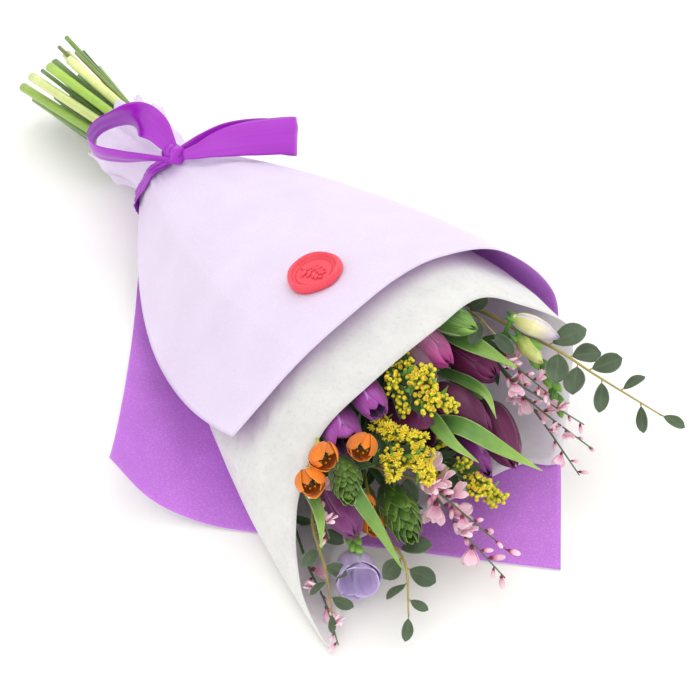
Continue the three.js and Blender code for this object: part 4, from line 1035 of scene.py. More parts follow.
class Seal:
    """The wax seal: a poured disc that follows the paper, with a leaf sprig in relief."""

    place_s, place_v = 0.832, 0.823
    radius = 17.0
    lift = 1.1
    step = 0.01                       # of s or v, to measure the paper's slope by
    floor = 2.5                       # mm, the height of the stamped face
    profile = [(0.0, floor), (0.55, floor), (0.73, floor), (0.76, 2.8), (0.785, 4.0), (0.835, 4.85),
               (0.89, 4.95), (0.95, 4.3), (0.99, 2.9), (1.0, 1.4), (0.985, 0.2)]

    def __init__(self, wrap: Wrap) -> None:
        """Measures the paper round the seal's place."""
        self.wrap = wrap
        here = wrap.paper(self.place_s, self.place_v)
        per_s = (wrap.paper(self.place_s + self.step, self.place_v) - here) / self.step
        per_v = (wrap.paper(self.place_s, self.place_v + self.step) - here) / self.step
        self.skew = per_s.dot(per_v) / per_v.length_squared
        self.sideways = (per_s - per_v * self.skew).length
        self.lengthways = per_v.length

    def on_paper(self, a: float, b: float, height: float) -> Vector:
        """Returns the point at (a, b) on the paper, measured from the seal's middle, at a height."""
        s = self.place_s + a / self.sideways
        v = self.place_v + b / self.lengthways - self.skew * a / self.sideways
        point = self.wrap.paper(s, v)
        along_s = self.wrap.paper(s + self.step, v) - point
        normal = along_s.cross(self.wrap.paper(s, v + self.step) - point).normalized()
        if normal.z < 0:
            normal.negate()
        return point + normal * (self.lift + height)

    def build(self) -> None:
        """Builds the disc by turning its profile, then bends all of it on to the paper."""
        sculpt = Sculpt()
        bm = sculpt.bm
        bmesh.ops.create_vert(bm, co=(0, 0, self.profile[0][1]))
        bm.verts.ensure_lookup_table()
        start = bm.verts[0]
        edges = []
        for share, height in self.profile[1:]:
            made = bmesh.ops.extrude_vert_indiv(bm, verts=[start])
            start = made["verts"][0]
            start.co = (self.radius * share, 0, height)
            edges.extend(made["edges"])
        bmesh.ops.spin(bm, geom=bm.verts[:] + edges, cent=(0, 0, 0), axis=(0, 0, 1), angle=2 * math.pi,
                       steps=72, use_merge=True)
        bmesh.ops.remove_doubles(bm, verts=bm.verts, dist=0.01)
        rim = [edge for edge in bm.edges if edge.is_boundary]
        bmesh.ops.contextual_create(bm, geom=rim)
        sculpt.dress(bm.faces, WAX)
        self.sprig(sculpt)
        sculpt.finish("wax_seal_disc", ["wax_seal"], "sealing_wax", bend=self.laid)

    def laid(self, point: Vector) -> Vector:
        """Returns a point of the flat disc where it lies on the paper, with the rim's uneven flow."""
        angle, share = math.atan2(point.y, point.x), math.hypot(point.x, point.y) / self.radius
        waves = 0.022 * math.sin(3 * angle + 1) + 0.014 * math.sin(5 * angle)
        flow = 1 + smoothstep(share, 0.72, 0.95) * waves
        return self.on_paper(point.x * flow, point.y * flow, point.z)

    def sprig(self, sculpt: Sculpt) -> None:
        """Adds a leaf sprig and a ring of small beads, in relief on the flat disc."""
        floor, ring_radius, beads = self.floor, 0.66 * self.radius, 44
        for k in range(beads):
            angle = 2 * math.pi * k / beads
            centre = Vector((ring_radius * math.cos(angle), ring_radius * math.sin(angle), floor))
            sculpt.bead(centre, UP, 0.55, 1.0, WAX)
        stem = Path([(3.2, -8.8, floor), (0.6, -3.4, floor), (-0.2, 2, floor), (0.8, 6, floor)])
        sculpt.tube(stem.steps(10), [mix(0.7, 0.35, k / 10) for k in range(11)], 8, WAX)
        for k in range(9):
            root = stem.at(1.0 if k == 8 else 0.2 + 0.2 * (k // 2))
            lean = 0 if k == 8 else (1 if k % 2 else -1)
            tip = root + Vector((lean * (6.8 - 0.4 * k), 3.6, 0.0))
            self.leaf(sculpt, root, tip)

    def leaf(self, sculpt: Sculpt, root: Vector, tip: Vector) -> None:
        """Adds one domed leaf of the sprig."""
        side = (tip - root).cross(UP).normalized()

        def place(across: float, along: float) -> Vector:
            """Returns the leaf's point."""
            half = 1.6 * through([(0, 0.15), (0.4, 1.0), (0.75, 0.7), (1, 0.06)], along)
            dome = 1.2 * (1 - across**2) - 0.25 * math.exp(-((across / 0.2) ** 2))
            height = 0.15 + dome * math.sin(math.pi * along) ** 0.5
            return root.lerp(tip, along) + side * across * half + UP * height

        sculpt.sheet(place, 8, 8, 0.4, WAX)


# ------------ flowers and leaves


class BloomShape(Enum):
    """How a six-petalled bloom is cut: the width of its petals along them, and their reach."""

    TULIP = "tulip"
    CUP = "cup"


PETAL_WIDTHS: dict[BloomShape, Stops] = {
    BloomShape.TULIP: [(0, 0.8), (0.25, 1.02), (0.5, 1.02), (0.72, 0.97), (0.87, 0.8), (0.96, 0.5), (1, 0.1)],
    BloomShape.CUP: [(0, 0.75), (0.3, 1.0), (0.7, 1.1), (0.86, 1.04), (0.95, 0.8), (1, 0.4)],
}
PETAL_ORDER = (1, 3, 5, 0, 2, 4)      # the inner petals, which are odd, come first


@dataclass
class Bloom:
    """Six petals in two layers round the line from a base to a tip."""

    base: Vector
    tip: Vector
    width: float
    open: float                       # from 0, closed, to 1, wide
    shape: BloomShape = BloomShape.TULIP
    turn: float = math.radians(20)

    def petal(self, sculpt: Sculpt, k: int, outside: Finish, inside: Finish) -> None:
        """Adds one petal.

        Args:
            sculpt: takes the mesh.
            k: its number round the bloom; even petals are the outer ones.
            outside: the finish outside.
            inside: the finish inside.
        """
        inner = k % 2 == 1
        line = self.tip - self.base
        length = line.length
        mouth = min(1.3, self.open + 0.3) if self.shape is BloomShape.CUP else self.open
        lean = sculpt.chance.uniform(-0.03, 0.03)
        axes = Axes.along(line)
        middle = self.turn + k * math.pi / 3 + lean
        reach = [(0, 0.22), (0.07, 0.52), (0.16, 0.8), (0.42, 1.0), (0.72, mix(0.83, 1.02, mouth)),
                 (0.9, mix(0.5, 1.0, mouth)), (1, mix(0.12, 0.93, mouth**1.2))]
        half = math.radians(60 if inner else 57)
        layer = 0.9 if inner else 1.0
        height = 1.0 if inner else sculpt.chance.uniform(0.92, 0.99)
        flare = sculpt.chance.uniform(0.4, 1.0)

        def place(across: float, along: float) -> Vector:
            """Returns the petal's point."""
            wide = half * through(PETAL_WIDTHS[self.shape], along)
            angle = middle + across * wide
            keel = 1 + 0.03 * math.exp(-((across / 0.2) ** 2)) * math.sin(math.pi * along)
            lip = 1 + 0.045 * flare * across**4 * smoothstep(along, 0.2, 0.7) - 0.03 * across**2
            wave = 1 + 0.015 * math.sin(9 * along + 5 * across + k)
            distance = self.width / 2 * through(reach, along) * layer * keel * lip * wave
            rise = along - 0.06 * across**2 * smoothstep(along, 0.6, 1)
            return axes.around(self.base, angle, distance, length * rise * height)

        sculpt.sheet(place, 12, 18, 0.5, outside, inside)

    def add(self, sculpt: Sculpt, outside: Finish, inside: Finish) -> None:
        """Adds all six petals, and the seat that they grow from."""
        for k in PETAL_ORDER:
            self.petal(sculpt, k, outside, inside)
        line = self.tip - self.base
        sculpt.bead(self.base + line * 0.04, line, self.width * 0.2, line.length * 0.12, outside, 12, 6)

    def stamens(self, sculpt: Sculpt, thread: Finish, head: Finish) -> None:
        """Adds six stamens round a pistil."""
        line = self.tip - self.base
        axes = Axes.along(line)
        for k in range(7):
            reach = 0 if k == 6 else self.width * 0.16
            foot = axes.around(self.base, k * math.pi / 3, reach * 0.4, line.length * 0.08)
            top = axes.around(self.base, k * math.pi / 3, reach, line.length * (0.5 if k == 6 else 0.56))
            sculpt.tube([foot, (foot + top) / 2, top], [0.9 if k == 6 else 0.5] * 3, 6, thread)
            sculpt.bead(top, line, 1.2, 5.0, head)


@dataclass
class Blade:
    """A long leaf along a route: widest near its middle, folded up along its midrib."""

    route: Sequence[Sequence[float]]
    width: float
    facing: Vector = field(default_factory=lambda: Vector((0.2, -0.4, 0.9)))
    widths: Stops = ((0, 0.45), (0.17, 0.8), (0.33, 1), (0.5, 1), (0.67, 0.85), (0.83, 0.5), (1, 0.04))
    lift: float = 0.3
    wave: float = 0.5

    def add(self, sculpt: Sculpt, finish: Finish, rows: int = 26) -> None:
        """Adds the leaf."""
        line = Path(self.route)
        phase = sculpt.chance.uniform(0, 6)

        def place(across: float, along: float) -> Vector:
            """Returns the leaf's point."""
            ahead = line.ahead(along)
            side = self.facing.cross(ahead).normalized()
            up = ahead.cross(side)
            half = self.width / 2 * through(self.widths, along)
            ripple = self.wave * abs(across) * math.sin(11 * along + phase + 2 * across)
            height = abs(across) ** 1.3 * self.lift * half + ripple
            return line.at(along) + side * across * half + up * height

        sculpt.sheet(place, 10, rows, 0.5, finish)


@dataclass
class OvalLeaf:
    """A round eucalyptus leaf on a short stalk, slightly cupped."""

    root: Vector
    direction: Vector
    facing: Vector
    length: float
    share: float                      # its width as a share of its length
    outline: ClassVar[Stops] = ((0, 0.03), (0.08, 0.32), (0.22, 0.68), (0.45, 0.97), (0.62, 1.0),
                                (0.82, 0.78), (0.94, 0.42), (1, 0.05))
    stalk_share: ClassVar[float] = 0.14

    def add(self, sculpt: Sculpt) -> None:
        """Adds the leaf and its stalk."""
        side = self.direction.cross(self.facing).normalized()
        up = side.cross(self.direction).normalized()
        cup = sculpt.chance.uniform(0.02, 0.16)
        droop = sculpt.chance.uniform(0.05, 0.2)
        wave = sculpt.chance.uniform(0, 6)

        def place(across: float, along: float) -> Vector:
            """Returns the leaf's point."""
            out = mix(self.stalk_share, 1, along)
            half = self.length * self.share / 2 * through(self.outline, along)
            height = -droop * self.length * out**2 + cup * half * across**2 * 2
            height += 0.25 * math.sin(7 * along + wave) * abs(across)
            return self.root + self.direction * self.length * out + side * across * half + up * height

        sculpt.sheet(place, 8, 9, 0.4, EUCALYPTUS_LEAF, EUCALYPTUS_BACK)
        sculpt.tube([self.root, place(0, 0.02)], [0.55, 0.4], 6, EUCALYPTUS_TWIG)


def under_leaves(sculpt: Sculpt, wrap: Wrap, stem: Sequence[Vector], count: int, turn: float) -> None:
    """Adds a stem's dark leaves below the flowers, which fill the gaps between them.

    Args:
        sculpt: takes the mesh.
        wrap: keeps the leaves inside it.
        stem: the stem's last stretch.
        count: how many leaves are tried.
        turn: the first leaf's angle round the stem.
    """
    line = Path(stem)
    for k in range(count):
        root = line.at(mix(0.05, 0.7, k / count))
        axes = Axes.along(line.ahead(0.5))
        angle = k * GOLDEN_ANGLE + turn
        length = sculpt.chance.uniform(18, 28)
        out = axes.around(Vector(), angle, 1.0, 0.0)
        out -= SHOWN_SIDE * max(0.0, out.dot(SHOWN_SIDE))
        tip = root + out * length * 0.6 + axes.axis * length * 0.7 - SHOWN_SIDE * 9
        middle = root + out * length * 0.25 + axes.axis * length * 0.4 - SHOWN_SIDE * 5
        if wrap.holds(tip, 3.0) and wrap.holds(middle, 3.0):
            Blade([root, middle, tip], sculpt.chance.uniform(5, 8), wave=0.4,
                  widths=[(0, 0.2), (0.45, 1), (0.75, 0.7), (1, 0.05)]).add(sculpt, DARK_LEAF, 8)


# ------------ the stems at the tie


@dataclass
class Stem:
    """One stem: where it crosses the tie, and the point that it carries."""

    kind: str
    name: str
    head: Vector
    radius: float
    y: float = 0.0
    z: float = 0.0


class Bunch:
    """The stems, pushed side by side at the tie and laid in a spiral to their cut ends."""

    clearance = 0.3                   # round each stem at the tie
    radius = 16.6                     # of all the stems together at the tie
    rounds = 900                      # of pushing the stems into place
    drift = 0.998                     # how each round draws a stem to the middle
    end_spread = 1.75                 # how much wider the stems stand at their cut ends
    end_twist = math.radians(38)
    end_x = -318.0                    # the cut end that is nearest to the tie
    end_scatter = 30.0                # how much further out the others reach
    ground_clear = 0.6
    hold = 5.0                        # how far the stems run straight to either side of the tie
    leaf_share = 0.72                 # where a leaf leaves its stem, from the tie to the bloom

    def __init__(self, stems: list[Stem], wrap: Wrap) -> None:
        """Packs the stems, as circles, into the tie."""
        self.stems = stems
        self.wrap = wrap
        for stem in stems:
            # a first guess, which puts each stem on the side where its flower is
            stem.y, stem.z = stem.head.y * 0.17, (stem.head.z - 55) * 0.3
        for _ in range(self.rounds):
            self.settle()

    def settle(self) -> None:
        """Pushes the circles apart and towards the middle once."""
        for a in self.stems:
            a.y *= self.drift
            a.z *= self.drift
            for b in self.stems:
                if a is b:
                    continue
                dy, dz = a.y - b.y, a.z - b.z
                gap = math.hypot(dy, dz) or 1e-3
                push = (a.radius + b.radius + 2 * self.clearance - gap) / 2
                if push <= 0:
                    continue
                a.y += dy / gap * push
                a.z += dz / gap * push
                b.y -= dy / gap * push
                b.z -= dz / gap * push
            out = math.hypot(a.y, a.z) / (self.radius - a.radius)
            if out > 1:
                a.y /= out
                a.z /= out

    def route(self, stem: Stem) -> list[Vector]:
        """Returns a stem's points: cut end, both sides of the tie, the leaf's foot, its head."""
        index = self.stems.index(stem)
        turned_y = self.end_spread * (stem.y * math.cos(self.end_twist) - stem.z * math.sin(self.end_twist))
        turned_z = self.end_spread * (stem.y * math.sin(self.end_twist) + stem.z * math.cos(self.end_twist))
        end_x = self.end_x - self.end_scatter * ((index * GOLDEN_SHARE) % 1)
        reach = (Wrap.tie_x - end_x) / (Wrap.tie_x - self.end_x)
        end = Vector((end_x, mix(stem.y, turned_y, reach), Wrap.tie_z + mix(stem.z, turned_z, reach)))
        end.z = max(end.z, stem.radius + self.ground_clear)
        before = Vector((Wrap.tie_x - self.hold, stem.y, Wrap.tie_z + stem.z))
        after = Vector((Wrap.tie_x + self.hold, stem.y, Wrap.tie_z + stem.z))
        return [end, before, after, after.lerp(stem.head, self.leaf_share), stem.head]

    def find(self, kind: str, name: str) -> list[Vector]:
        """Returns the route of the stem of that kind and name."""
        return self.route(next(s for s in self.stems if (s.kind, s.name) == (kind, name)))

    @staticmethod
    def dense(route: Sequence[Vector], step: float = 9.0) -> list[Vector]:
        """Returns a route with points at most a step apart, its bends kept."""
        points = [route[0]]
        for a, b in zip(route, route[1:]):
            count = max(1, round((b - a).length / step))
            points.extend(a.lerp(b, (k + 1) / count) for k in range(count))
        return points


# ------------ the plants


@dataclass
class Tulip:
    """A tulip: its stem, a leaf or none, and its bloom."""

    name: str
    base: Point
    tip: Point
    width: float
    open: float                       # from 0, closed, to 1, wide
    outside: PlantFinish
    inside: PlantFinish
    slot: str
    shape: BloomShape = BloomShape.TULIP
    leaf: Sequence[Point] = ()
    leaf_width: float = 0.0
    radii: ClassVar[tuple[float, float]] = (3.4, 2.9)     # at the cut end and below the bloom
    stems: ClassVar[tuple[PlantFinish, ...]] = (TULIP_STEM, BRIGHT_STEM, DARK_STEM)

    def build(self, bunch: Bunch, seed: int) -> None:
        """Builds the stem with its leaf, and the bloom."""
        sculpt = Sculpt(seed)
        route = bunch.find("tulip", self.name)
        points = bunch.dense(route)
        radii = [mix(*self.radii, k / (len(points) - 1)) for k in range(len(points))]
        sculpt.tube(points, radii, 14, self.stems[seed * 2 % 3], cut=CUT_END)
        if self.leaf:
            Blade([route[3], *self.leaf], self.leaf_width).add(sculpt, TULIP_LEAF)
        sculpt.finish(f"tulip_{self.name}_stalk", [f"tulip_{self.name}_stem"], "tulip_green")
        petals = Sculpt(seed + 50)
        bloom = Bloom(Vector(self.base), Vector(self.tip), self.width, self.open, self.shape,
                      math.radians(20 + 17 * seed))
        bloom.add(petals, self.outside, self.inside)
        if self.open >= 0.3:
            bloom.stamens(petals, YELLOW_GREEN_BUD, self.inside)
        petals.finish(f"tulip_{self.name}_petals", [f"tulip_{self.name}_bloom"], self.slot)


@dataclass
class StarFlower:
    """A star-of-Bethlehem spike: open florets below a cone of green bracts."""

    name: str
    base: Point
    tip: Point
    radius: float
    bloom: float                      # a floret's radius
    florets: Sequence[Point]
    bracts: ClassVar[int] = 64
    girth: ClassVar[Stops] = ((0, 0.55), (0.2, 0.88), (0.45, 1.0), (0.75, 0.86), (0.93, 0.5), (1, 0.12))
    bract_widths: ClassVar[Stops] = ((0, 0.6), (0.35, 1.0), (0.7, 0.72), (0.9, 0.32), (1, 0.05))
    petal_widths: ClassVar[Stops] = (
        (0, 0.9), (0.35, 1.0), (0.65, 0.9), (0.85, 0.55), (0.95, 0.25), (1, 0.04))

    def build(self, bunch: Bunch, seed: int) -> None:
        """Builds the spike."""
        sculpt = Sculpt(seed)
        route = bunch.find("star_of_bethlehem", self.name)
        base, tip = Vector(self.base), Vector(self.tip)
        points = bunch.dense([*route, base.lerp(tip, 0.3)])
        sculpt.tube(points, [2.4] * len(points), 12, DARK_STEM, cut=CUT_END)
        self.cone(sculpt, base, tip)
        under_leaves(sculpt, bunch.wrap, [route[3], base, tip], 12, float(seed))
        for k, place in enumerate(self.florets):
            centre = Vector(place)
            joint = route[3].lerp(base, 0.55 + 0.1 * k)
            apart = Vector((0.3 * math.sin(2.3 * k), 0.35 * math.cos(1.9 * k), 0.25 * math.sin(k + 1)))
            facing = (centre - joint).normalized().lerp(Vector((0.9, -0.5, -0.1)) + apart, 0.75).normalized()
            foot = centre - facing * self.bloom * 0.6
            sculpt.tube([joint, joint.lerp(foot, 0.6) + UP, foot], [1.0, 0.9, 1.4], 8, YELLOW_GREEN_BUD)
            self.floret(sculpt, centre, facing)
        sculpt.finish(f"star_flower_{self.name}_spike", [f"star_of_bethlehem_{self.name}"], "star_flower")

    def cone(self, sculpt: Sculpt, base: Vector, tip: Vector) -> None:
        """Adds the cone: leafy bracts in a spiral over a core of closed buds."""
        axes = Axes.along(tip - base)
        length = (tip - base).length
        core = [axes.at(base, 0, 0, length * k / 12) for k in range(13)]
        sculpt.tube(core, [self.radius * 0.8 * through(self.girth, k / 12) for k in range(13)], 14, BRACT)
        for k in range(self.bracts):
            share = (k + 0.5) / self.bracts
            angle = k * GOLDEN_ANGLE + sculpt.chance.uniform(-0.2, 0.2)
            reach = self.radius * 0.7 * through(self.girth, share)
            root = axes.around(base, angle, reach, length * mix(-0.04, 0.88, share))
            out = axes.around(Vector(), angle, 1.0, 0.0)
            size = self.radius * mix(1.45, 0.8, share) * sculpt.chance.uniform(0.85, 1.15)
            side = out.cross(axes.axis).normalized()
            ahead = out * mix(0.5, 0.12, share) + axes.axis + side * sculpt.chance.uniform(-0.15, 0.15)
            self.bract(sculpt, root, ahead.normalized(), side, size)

    def bract(self, sculpt: Sculpt, root: Vector, ahead: Vector, side: Vector, size: float) -> None:
        """Adds one bract, which bends in to the cone at its tip."""
        above = side.cross(ahead) * -1

        def place(across: float, along: float) -> Vector:
            """Returns the bract's point."""
            half = size * 0.34 * through(self.bract_widths, along)
            height = -0.34 * size * along**2 + 0.16 * size * along + 0.5 - 0.4 * half * across**2
            return root + ahead * size * along + side * across * half + above * height

        sculpt.sheet(place, 4, 6, 0.3, BRACT)

    def floret(self, sculpt: Sculpt, centre: Vector, facing: Vector) -> None:
        """Adds one deep cup of six pointed petals about a dark eye."""
        axes = Axes.along(facing)
        turn = sculpt.chance.uniform(0, 1)
        for k in PETAL_ORDER:
            self.cup_petal(sculpt, axes, centre, turn + k * math.pi / 3, outer=k % 2 == 0)
        sculpt.bead(centre, facing, 2.4, 7.5, DARK_EYE, 12, 8)
        for k in range(6):
            top = axes.around(centre, turn + (k + 0.5) * math.pi / 3, self.bloom * 0.34, 3.4)
            sculpt.tube([axes.at(centre, 0, 0, -3.5), top], [0.4, 0.3], 5, DARK_EYE)
            sculpt.bead(top, facing, 0.6, 1.6, YELLOW_GREEN_BUD)

    def cup_petal(self, sculpt: Sculpt, axes: Axes, centre: Vector, middle: float, outer: bool) -> None:
        """Adds one petal of a cup.

        Args:
            sculpt: takes the mesh.
            axes: the cup's axes.
            centre: its middle.
            middle: the petal's angle round it.
            outer: whether it stands outside its neighbours.
        """
        spread = sculpt.chance.uniform(0.42, 0.78)
        reaches = [(0, 0.16), (0.2, 0.66), (0.48, 0.97), (0.8, mix(0.85, spread, 0.3)), (1, spread)]

        def place(across: float, along: float) -> Vector:
            """Returns the petal's point."""
            angle = middle + across * math.radians(50) * through(self.petal_widths, along)
            layer = 0.98 + 0.05 * across**4 if outer else 0.9
            rise = self.bloom * (mix(-0.75, 1.05, along) - (0.0 if outer else 0.12 * along))
            return axes.around(centre, angle, self.bloom * through(reaches, along) * layer, rise)

        sculpt.sheet(place, 8, 10, 0.4, ORANGE_PETAL, ORANGE_PETAL_INSIDE)


class GoldenrodStage(Enum):
    """How far a goldenrod spray has come into flower."""

    BUDS = "buds"
    OPEN = "open"


@dataclass
class Goldenrod:
    """A goldenrod spray: side twigs off the upper stem, beaded with florets."""

    name: str
    stem: Sequence[Point]
    twigs: int
    reach: float
    turn: float
    stage: GoldenrodStage = GoldenrodStage.BUDS
    leaves: ClassVar[int] = 16
    per_mm: ClassVar[float] = 2.0     # florets along a twig

    def build(self, bunch: Bunch, seed: int) -> None:
        """Builds the spray."""
        sculpt = Sculpt(seed)
        route = bunch.find("goldenrod", self.name)
        axis = Path(self.stem).steps(6)
        points = bunch.dense(route) + axis[1:6]
        radii = [1.6] * (len(points) - 5) + [1.4, 1.3, 1.2, 1.1, 0.9]
        sculpt.tube(points, radii, 10, DARK_STEM, cut=CUT_END)
        axes = Axes.along(axis[6] - axis[2])
        for k in range(2 * self.twigs):
            step, grown = k / 2, self.reach * (0.85 if k % 2 else 1.0)
            root = axis[1 + int(step * 4 / self.twigs + 0.5)] + axes.axis * 1.3 * step
            angle = step * GOLDEN_ANGLE + self.turn + (2.0 if k % 2 else 0.0)
            self.twig(sculpt, bunch.wrap, root, axes.around(root, angle, grown * 0.75, grown * 0.62))
            side = axes.around(root, angle + 1.9, grown * 0.7, grown * 0.35)
            if bunch.wrap.holds(side):
                Blade([root, root.lerp(side, 0.5) + axes.axis, side], 2.6, wave=0.2,
                      widths=[(0, 0.3), (0.4, 1), (1, 0.05)]).add(sculpt, FINE_LEAF, 8)
        self.twig(sculpt, bunch.wrap, axis[4], axes.at(axis[6], 0, 0, 3))
        under_leaves(sculpt, bunch.wrap, [route[3], *axis], self.leaves, self.turn)
        sculpt.finish(f"goldenrod_{self.name}_spray", [f"goldenrod_{self.name}"], "goldenrod")

    def twig(self, sculpt: Sculpt, wrap: Wrap, root: Vector, end: Vector) -> None:
        """Adds one twig with its florets on short stalks all round it, inside the wrap."""
        arch = Path([root, root.lerp(end, 0.55) + UP * 1.2, end])
        line = [point for point in arch.steps(8) if wrap.holds(point, 1.0)]
        if len(line) < 3:
            return
        sculpt.tube(line, [mix(0.8, 0.45, k / len(line)) for k in range(len(line))], 6, DARK_STEM)
        count = max(14, round((end - root).length * self.per_mm))
        for k in range(count):
            share = mix(0.14, 1.04, k / (count - 1))
            centre = arch.at(min(share, 1.0))
            axes = Axes.along(arch.ahead(min(share, 0.99)))
            spread = sculpt.chance.uniform(1.8, 5.2) * (1 - 0.4 * share)
            angle = k * GOLDEN_ANGLE + sculpt.chance.uniform(-0.6, 0.6)
            seat = axes.around(centre, angle, spread, sculpt.chance.uniform(0.2, 3.4))
            if not wrap.holds(seat, 2.5):
                continue
            out = (seat - centre).normalized()
            sculpt.tube([centre, seat], [0.3, 0.35], 4, DARK_STEM)
            if self.stage is GoldenrodStage.OPEN and k % 2 == 0:
                self.open_floret(sculpt, seat, out)
            else:
                size = sculpt.chance.uniform(0.95, 1.5)
                way = (out + axes.axis * 0.6).normalized()
                sculpt.bead(seat + way * 0.7, way, size, size * 2.3, GOLDENROD_BUD, 8, 6)

    def open_floret(self, sculpt: Sculpt, seat: Vector, out: Vector) -> None:
        """Adds one open floret: a tuft of short rays."""
        axes = Axes.along(out)
        for k in range(7):
            tip = axes.around(seat, k * 0.9, sculpt.chance.uniform(1.9, 2.7), sculpt.chance.uniform(1.4, 2.6))
            sculpt.tube([seat, seat.lerp(tip, 0.6), tip], [0.35, 0.75, 0.25], 4, GOLDENROD_RAY, flat=0.4)
        sculpt.bead(seat + out * 0.9, out, 0.9, 2.6, GOLDENROD_BUD, 6, 4)


@dataclass
class Broom:
    """A broom spray: thin green twigs set with pink pea flowers."""

    name: str
    root: Point
    twigs: Sequence[Sequence[Point]]
    flowers: int
    size: float = 1.15
    petal_widths: ClassVar[Stops] = ((0, 0.2), (0.35, 0.85), (0.65, 1.0), (0.88, 0.6), (1, 0.08))

    def build(self, bunch: Bunch, seed: int) -> None:
        """Builds the spray."""
        sculpt = Sculpt(seed)
        route = bunch.find("broom", self.name)
        points = bunch.dense(route)
        sculpt.tube(points, [1.4] * len(points), 10, BROOM_TWIG, cut=CUT_END)
        under_leaves(sculpt, bunch.wrap, [route[3], route[-1], Vector(self.twigs[0][0])], 10, float(seed))
        for t, twig in enumerate(self.twigs):
            line = Path([route[-1], *twig])
            sculpt.tube(line.steps(20), [mix(0.95, 0.4, k / 20) for k in range(21)], 6, BROOM_TWIG)
            ahead = (line.at(1) - line.at(0.6)).normalized()
            axes = Axes.along(ahead)
            for k in range(self.flowers * 2 - 1):
                share = mix(0.34, 0.97, k / (2 * self.flowers - 2))
                angle = k / 2 * GOLDEN_ANGLE + t + (1.7 if k % 2 else 0)
                way = (axes.around(Vector(), angle, 1.0, 0.0) * 7 + ahead * 5.5).normalized()
                grown = (1.0 if k % 2 == 0 else 0.72) * mix(1.25, 0.65, share) * self.size
                self.pea_flower(sculpt, line.at(share), way, grown, k % 2 == 0 and share < 0.85)
        sculpt.finish(f"broom_{self.name}_spray", [f"broom_{self.name}"], "broom")

    def pea_flower(self, sculpt: Sculpt, root: Vector, way: Vector, size: float, open_wide: bool) -> None:
        """Adds one flower: a dark calyx, a keel, and a raised banner and wings where it has opened.

        Args:
            sculpt: takes the mesh.
            root: where it leaves the twig.
            way: the direction that it grows in.
            size: its size as a share of a large one's.
            open_wide: whether it has opened.
        """
        joint = root + way * 1.8 * size
        sculpt.tube([root, joint], [0.35, 0.45], 5, BROOM_CALYX)
        sculpt.bead(joint + way * 0.8, way, 1.15 * size, 3.2 * size, BROOM_CALYX)
        sculpt.bead(joint + way * 4.6 * size, way, 1.7 * size, 7.2 * size, BROOM_PETAL, 8, 6)
        if open_wide:
            axes = Axes.along(way)
            for lift, tilt, spread in ((1.0, 0.0, 3.4), (0.35, 1.0, 2.2), (0.35, -1.0, 2.2)):
                self.petal(sculpt, axes, joint, size, (lift, tilt, spread))

    def petal(self, sculpt: Sculpt, axes: Axes, joint: Vector, size: float, form: Point) -> None:
        """Adds the banner or a wing; its form is how far it lifts, tilts and spreads."""
        lift, tilt, spread = form

        def place(across: float, along: float) -> Vector:
            """Returns the petal's point."""
            half = size * spread * through(self.petal_widths, along)
            rise = size * (5.4 * along * lift + 0.9 * across**2)
            reach = size * (1.5 + 8.6 * along - 2.4 * along**2 * lift)
            return axes.at(joint, across * half + tilt * size * (1 + 2.2 * along), rise, reach)

        sculpt.sheet(place, 6, 8, 0.25, BROOM_PETAL)


@dataclass
class FreesiaBud:
    """One large bud of a freesia."""

    base: Point
    tip: Point
    radius: float
    finish: PlantFinish


@dataclass
class Freesia:
    """A freesia: an arching stem with buds in a row, and an open bloom on one."""

    name: str
    stem: Sequence[Point]
    small: int
    slot: str
    buds: Sequence[FreesiaBud] = ()
    bloom: FreesiaBud | None = None

    def build(self, bunch: Bunch, seed: int) -> None:
        """Builds the stem, its buds and its bloom."""
        sculpt = Sculpt(seed)
        route = bunch.find("freesia", self.name)
        axis = Path(self.stem).steps(8)
        points = bunch.dense(route) + axis[1:]
        sculpt.tube(points, [1.8] * (len(points) - 8) + [1.5] * 8, 10, DARK_STEM, cut=CUT_END)
        for bud in self.buds:
            base, tip = Vector(bud.base), Vector(bud.tip)
            joint = min(axis, key=lambda p, base=base: (p - base).length)
            neck = [joint, joint.lerp(base, 0.5), base, base.lerp(tip, 0.2)]
            sculpt.tube(neck, [1.5, 1.4, 2.2, 2.6], 10, GREEN_BUD)
            Bloom(base, tip, 2 * bud.radius, 0.0, turn=0.5).add(sculpt, bud.finish, bud.finish)
            for lean in (-1, 1):
                sheath = base + Axes.along(tip - base).side * lean * 2.4
                sculpt.bead(sheath, tip - base, 1.4, 9.0, GREEN_BUD)
        self.small_buds(sculpt)
        if self.bloom:
            base, tip = Vector(self.bloom.base), Vector(self.bloom.tip)
            sculpt.tube([axis[7], base, base.lerp(tip, 0.2)], [1.6, 1.8, 2.4], 10, GREEN_BUD)
            wide_open = Bloom(base, tip, 2 * self.bloom.radius, 1.0, BloomShape.CUP, 0.3)
            wide_open.add(sculpt, self.bloom.finish, self.bloom.finish)
        sculpt.finish(f"freesia_{self.name}_stem", [f"freesia_{self.name}"], self.slot)

    def small_buds(self, sculpt: Sculpt) -> None:
        """Adds the green buds to either side of the stem, smaller towards its end."""
        line = Path(self.stem)
        for k in range(self.small):
            share = mix(0.4, 1.0, k / (self.small - 1))
            root = line.at(share)
            axes = Axes.along(line.ahead(min(share, 0.95)), SHOWN_SIDE)
            lean = 1 if k % 2 == 0 else -1
            end = axes.at(root, lean * mix(5.5, 2.0, share), 4, mix(15, 10, share))
            girth = mix(3.6, 2.5, share)
            points = [root.lerp(end, s) for s in (0, 0.2, 0.45, 0.7, 0.9, 1.02)]
            sculpt.tube(points, [girth * w for w in (0.5, 0.75, 1.0, 0.95, 0.6, 0.15)], 10, GREEN_BUD)


